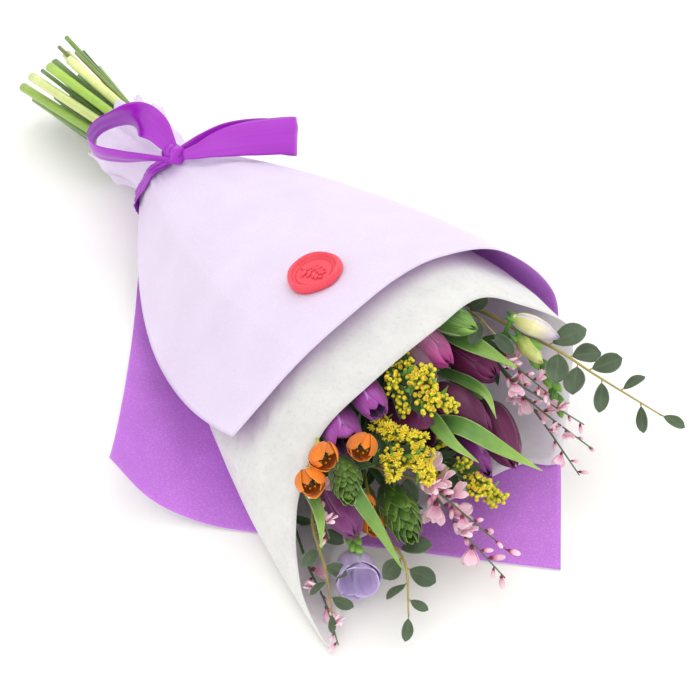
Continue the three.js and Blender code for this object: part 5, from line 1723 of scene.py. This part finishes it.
@dataclass
class Eucalyptus:
    """A eucalyptus twig with round leaves to either side."""

    name: str
    route: Sequence[Point]
    leaves: int
    size: float
    first: float                      # how far along the route its leaves start

    def build(self, bunch: Bunch, seed: int) -> None:
        """Builds the twig and its leaves."""
        sculpt = Sculpt(seed)
        line = Path(self.route)
        points = bunch.dense(bunch.find("eucalyptus", self.name)) + line.steps(20)[1:]
        radii = [1.5] * (len(points) - 20) + [mix(1.3, 0.5, k / 19) for k in range(20)]
        sculpt.tube(points, radii, 10, EUCALYPTUS_TWIG, cut=CUT_END)
        for k in range(self.leaves):
            self.leaf(sculpt, bunch.wrap, line, k)
        sculpt.finish(f"eucalyptus_{self.name}_twig", [f"eucalyptus_{self.name}"], "eucalyptus")

    def leaf(self, sculpt: Sculpt, wrap: Wrap, line: Path, k: int) -> None:
        """Adds leaf k, small enough that the wrap holds it."""
        share = mix(self.first, 1, k / (self.leaves - 1))
        ahead = (line.at(share + 0.02) - line.at(share - 0.02)).normalized()
        side = Vector((0.3, -0.35, 0.9)).cross(ahead).normalized()
        lean = 1 if k % 2 == 0 else -1
        tilt = 0.1 if k == self.leaves - 1 else 0.85
        direction = ahead * (1 - 0.55 * tilt) + side * lean * tilt + UP * 0.25 * math.sin(k * 2.4)
        direction.normalize()
        facing = Vector((0.2 + 0.6 * math.sin(k * 1.7), -0.4 + 0.6 * math.cos(k * 2.3), 0.8)).normalized()
        grown = self.size * mix(1.12, 0.72, k / self.leaves) * sculpt.chance.uniform(0.88, 1.1)
        while grown > 8 and not wrap.holds(line.at(share) + direction * grown):
            grown *= 0.85
        width = mix(0.64, 0.4, k / self.leaves) * sculpt.chance.uniform(0.88, 1.08)
        OvalLeaf(line.at(share) - direction * 0.5, direction, facing, grown, width).add(sculpt)


# ------------ what the bunch holds

TULIPS = [
    Tulip("green_bud", (68, 12, 93), (98, 23, 94), 19, 0, GREEN_PETAL, GREEN_PETAL, "tulip_green_bud"),
    Tulip("pink", (58, 2, 79), (100, 2, 80), 22, 0.1, PINK_PETAL, PINK_PETAL, "tulip_pink"),
    Tulip("mauve", (76, -17, 86), (108, -16, 85), 15, 0, MAUVE_PETAL, MAUVE_PETAL, "tulip_mauve"),
    Tulip("upper", (72, 24, 62), (114, 26, 65), 23, 0.15, BURGUNDY_PETAL, BURGUNDY_PETAL_INSIDE,
          "tulip_burgundy", leaf=[(58, 24, 72), (86, 21, 79), (104, 25, 80), (122, 33, 76)], leaf_width=12),
    Tulip("middle", (90, -6, 57), (137, 1, 54), 26, 0.1, BURGUNDY_PETAL, BURGUNDY_PETAL_INSIDE,
          "tulip_burgundy", leaf=[(76, 9, 54), (110, 9, 68), (127, 6, 74), (142, 0, 72)], leaf_width=7),
    Tulip("right", (107, 23, 42), (150, 11, 29), 24, 0.1, BURGUNDY_PETAL, BURGUNDY_PETAL_INSIDE,
          "tulip_burgundy"),
    Tulip("lower", (104, -4, 26), (148, -6, 32), 24, 0.1, PURPLE_PETAL, PURPLE_PETAL_INSIDE,
          "tulip_purple", leaf=[(96, -20, 44), (131, -16, 66), (152, -4, 58), (170, 12, 44)], leaf_width=11),
    Tulip("dark_cup", (86, -36, 58), (124, -36, 62), 26, 0.5, BURGUNDY_PETAL, BURGUNDY_PETAL_INSIDE,
          "tulip_burgundy", shape=BloomShape.CUP,
          leaf=[(78, -20, 50), (117, -26, 67), (135, -26, 63), (150, -19, 55)], leaf_width=9),
    Tulip("left_cup", (74, -66, 69), (111, -81, 76), 22, 0.5, PURPLE_PETAL, PURPLE_PETAL_INSIDE,
          "tulip_purple", shape=BloomShape.CUP,
          leaf=[(95, -80, 60), (131, -94, 69), (151, -92, 53), (173, -91, 36)], leaf_width=9),
    Tulip("left_bud", (72, -47, 80), (109, -58, 86), 19, 0.3, PURPLE_PETAL, PURPLE_PETAL_INSIDE,
          "tulip_purple", shape=BloomShape.CUP),
    Tulip("low_bud", (104, -90, 46), (146, -103, 48), 23, 0, DUSKY_PETAL, DUSKY_PETAL, "tulip_mauve",
          leaf=[(90, -98, 46), (129, -115, 60), (145, -126, 56)], leaf_width=7),
]

STAR_FLOWERS = [
    StarFlower("left", (108, -84, 64), (136, -100, 70), 9, 9,
               [(112, -100, 84), (115, -111, 74), (118, -77, 82)]),
    StarFlower("lower", (122, -62, 38), (156, -72, 36), 11, 7, [(130, -86, 50), (134, -82, 33)]),
]

GOLDENRODS = [
    Goldenrod("top", [(70, -34, 86), (96, -34, 92), (112, -28, 92)], 4, 14, 0.4),
    Goldenrod("left", [(82, -34, 82), (104, -38, 90), (122, -24, 86)], 4, 16, 1.2),
    Goldenrod("middle", [(90, -50, 66), (118, -60, 72), (138, -50, 62)], 5, 18, 2.1, GoldenrodStage.OPEN),
    Goldenrod("right", [(104, -28, 44), (134, -28, 42), (158, -12, 30)], 4, 14, 0.9),
]

BROOMS = [
    Broom("right", (86, 42, 58), [
        [(110, 37, 70), (138, 44, 61)], [(118, 35, 62), (160, 54, 46)],
        [(124, 38, 52), (170, 53, 34)], [(130, 42, 42), (174, 40, 24)]], 5),
    Broom("lower", (104, -48, 52), [
        [(131, -50, 54), (150, -43, 42), (188, -24, 14)],
        [(136, -46, 44), (164, -43, 28), (196, -36, 10)]], 7, 1.5),
    Broom("left", (88, -92, 56), [[(112, -104, 57), (140, -117, 52)]], 5),
    Broom("tail", (94, -110, 24), [[(124, -120, 14), (148, -126, 9), (172, -136, 6)]], 5),
]

FREESIAS = [
    Freesia("cream", [(84, 36, 66), (104, 46, 80), (124, 53, 64), (137, 54, 48)], 8, "freesia_cream",
            buds=[FreesiaBud((98, 50, 88), (122, 66, 80), 6.2, CREAM_PETAL),
                  FreesiaBud((106, 47, 80), (126, 50, 72), 5, LIME_PETAL)]),
    Freesia("blue", [(96, -84, 24), (122, -90, 27), (139, -98, 30)], 7, "freesia_blue",
            bloom=FreesiaBud((136, -98, 18), (156, -109, 22), 11, BLUE_PETAL)),
]

EUCALYPTUS = [
    Eucalyptus("right", [(74, 50, 74), (100, 58, 72), (126, 63, 74), (152, 66, 74), (190, 84, 60)],
               9, 21, 0.42),
    Eucalyptus("upper", [(58, 30, 76), (82, 34, 88), (100, 33, 88)], 3, 20, 0.4),
    Eucalyptus("lower", [(104, -58, 14), (138, -75, 21), (163, -82, 26), (187, -99, 18)], 6, 17, 0.5),
    Eucalyptus("left", [(92, -88, 36), (118, -112, 40), (141, -121, 31), (160, -131, 18)], 6, 16, 0.4),
    Eucalyptus("inner", [(88, -70, 40), (120, -62, 52), (140, -34, 34)], 4, 16, 0.5),
]


def stems_of_the_bunch() -> list[Stem]:
    """Returns every stem, in the order in which they are laid."""
    kinds: list[tuple[str, Sequence[Any], Callable[[Any], Sequence[float]], float]] = [
        ("tulip", TULIPS, lambda item: item.base, 3.4),
        ("star_of_bethlehem", STAR_FLOWERS, lambda item: item.base, 2.4),
        ("goldenrod", GOLDENRODS, lambda item: item.stem[0], 1.6),
        ("broom", BROOMS, lambda item: item.root, 1.4),
        ("freesia", FREESIAS, lambda item: item.stem[0], 1.8),
        ("eucalyptus", EUCALYPTUS, lambda item: item.route[0], 1.5),
    ]
    return [Stem(kind, item.name, Vector(head(item)), radius)
            for kind, items, head, radius in kinds for item in items]


# ------------ the studio


class Studio:
    """A pale floor, a bright room, soft lights and the camera."""

    camera_place = (0.6184, -0.4765, 0.7955)
    camera_back = Vector((0.557, -0.435, 0.707))
    lens, sensor_width = 90.0, 36.0   # mm
    floor_z = -0.0003                 # just below the bouquet's underside

    def build(self) -> None:
        """Builds the stage."""
        self.floor()
        self.world()
        self.light("key_light", (-0.6, 0.9, 1.5), 1.4, 7.0)
        self.light("fill_light", (0.9, -1.0, 1.1), 1.6, 3.0)
        self.camera()
        bpy.context.scene.view_settings.view_transform = "Standard"

    def floor(self) -> None:
        """Adds a wide plain pale floor."""
        bm = bmesh.new()
        bmesh.ops.create_grid(bm, x_segments=1, y_segments=1, size=6)
        mesh = bpy.data.meshes.new("studio_floor")
        bm.to_mesh(mesh)
        bm.free()
        finish = bpy.data.materials.new("matt_studio_floor")
        finish.use_nodes = True
        shader = finish.node_tree.nodes["Principled BSDF"]
        shader.inputs["Base Color"].default_value = linear("#fbfaf8")
        shader.inputs["Roughness"].default_value = 0.9
        mesh.materials.append(finish)
        floor = bpy.data.objects.new("studio_floor", mesh)
        floor.location.z = self.floor_z
        bpy.context.scene.collection.objects.link(floor)

    def world(self) -> None:
        """Sets a bright even room."""
        world = bpy.data.worlds.new("bright_room")
        bpy.context.scene.world = world
        world.use_nodes = True
        back = world.node_tree.nodes["Background"]
        back.inputs[0].default_value = (1.0, 0.995, 0.985, 1.0)
        back.inputs[1].default_value = 1.1

    def light(self, name: str, place: Sequence[float], size: float, power: float) -> None:
        """Adds one large soft light that faces the bouquet."""
        data = bpy.data.lights.new(name, "AREA")
        data.size = size
        data.energy = power
        lamp = bpy.data.objects.new(name, data)
        lamp.location = place
        lamp.rotation_euler = (Vector(place) - Vector((0, 0, 0.05))).to_track_quat("Z", "Y").to_euler()
        bpy.context.scene.collection.objects.link(lamp)

    def camera(self) -> None:
        """Adds the camera at the photograph's angle."""
        data = bpy.data.cameras.new("camera")
        data.lens = self.lens
        data.sensor_width = self.sensor_width
        data.clip_start = 0.05
        camera = bpy.data.objects.new("camera", data)
        camera.location = self.camera_place
        camera.rotation_euler = self.camera_back.to_track_quat("Z", "Y").to_euler()
        bpy.context.scene.collection.objects.link(camera)
        bpy.context.scene.camera = camera


class Bouquet:
    """The whole bouquet, built in order from the wrap to the leaves."""

    def __init__(self) -> None:
        """Lays out the wrap and the bunch."""
        self.wrap = Wrap()
        self.bunch = Bunch(stems_of_the_bunch(), self.wrap)

    def build(self) -> None:
        """Builds every piece."""
        self.wrap.build_paper()
        self.wrap.build_tissue()
        Ribbon(self.wrap).build()
        Twine().build()
        Seal(self.wrap).build()
        for plants in (TULIPS, STAR_FLOWERS, GOLDENRODS, BROOMS, FREESIAS, EUCALYPTUS):
            for seed, plant in enumerate(plants):
                plant.build(self.bunch, seed)


def main() -> None:
    """Loads the frame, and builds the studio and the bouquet."""
    logging.basicConfig(level=logging.INFO, format="%(message)s")
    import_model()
    Studio().build()
    Bouquet().build()


if __name__ == "__main__":
    main()
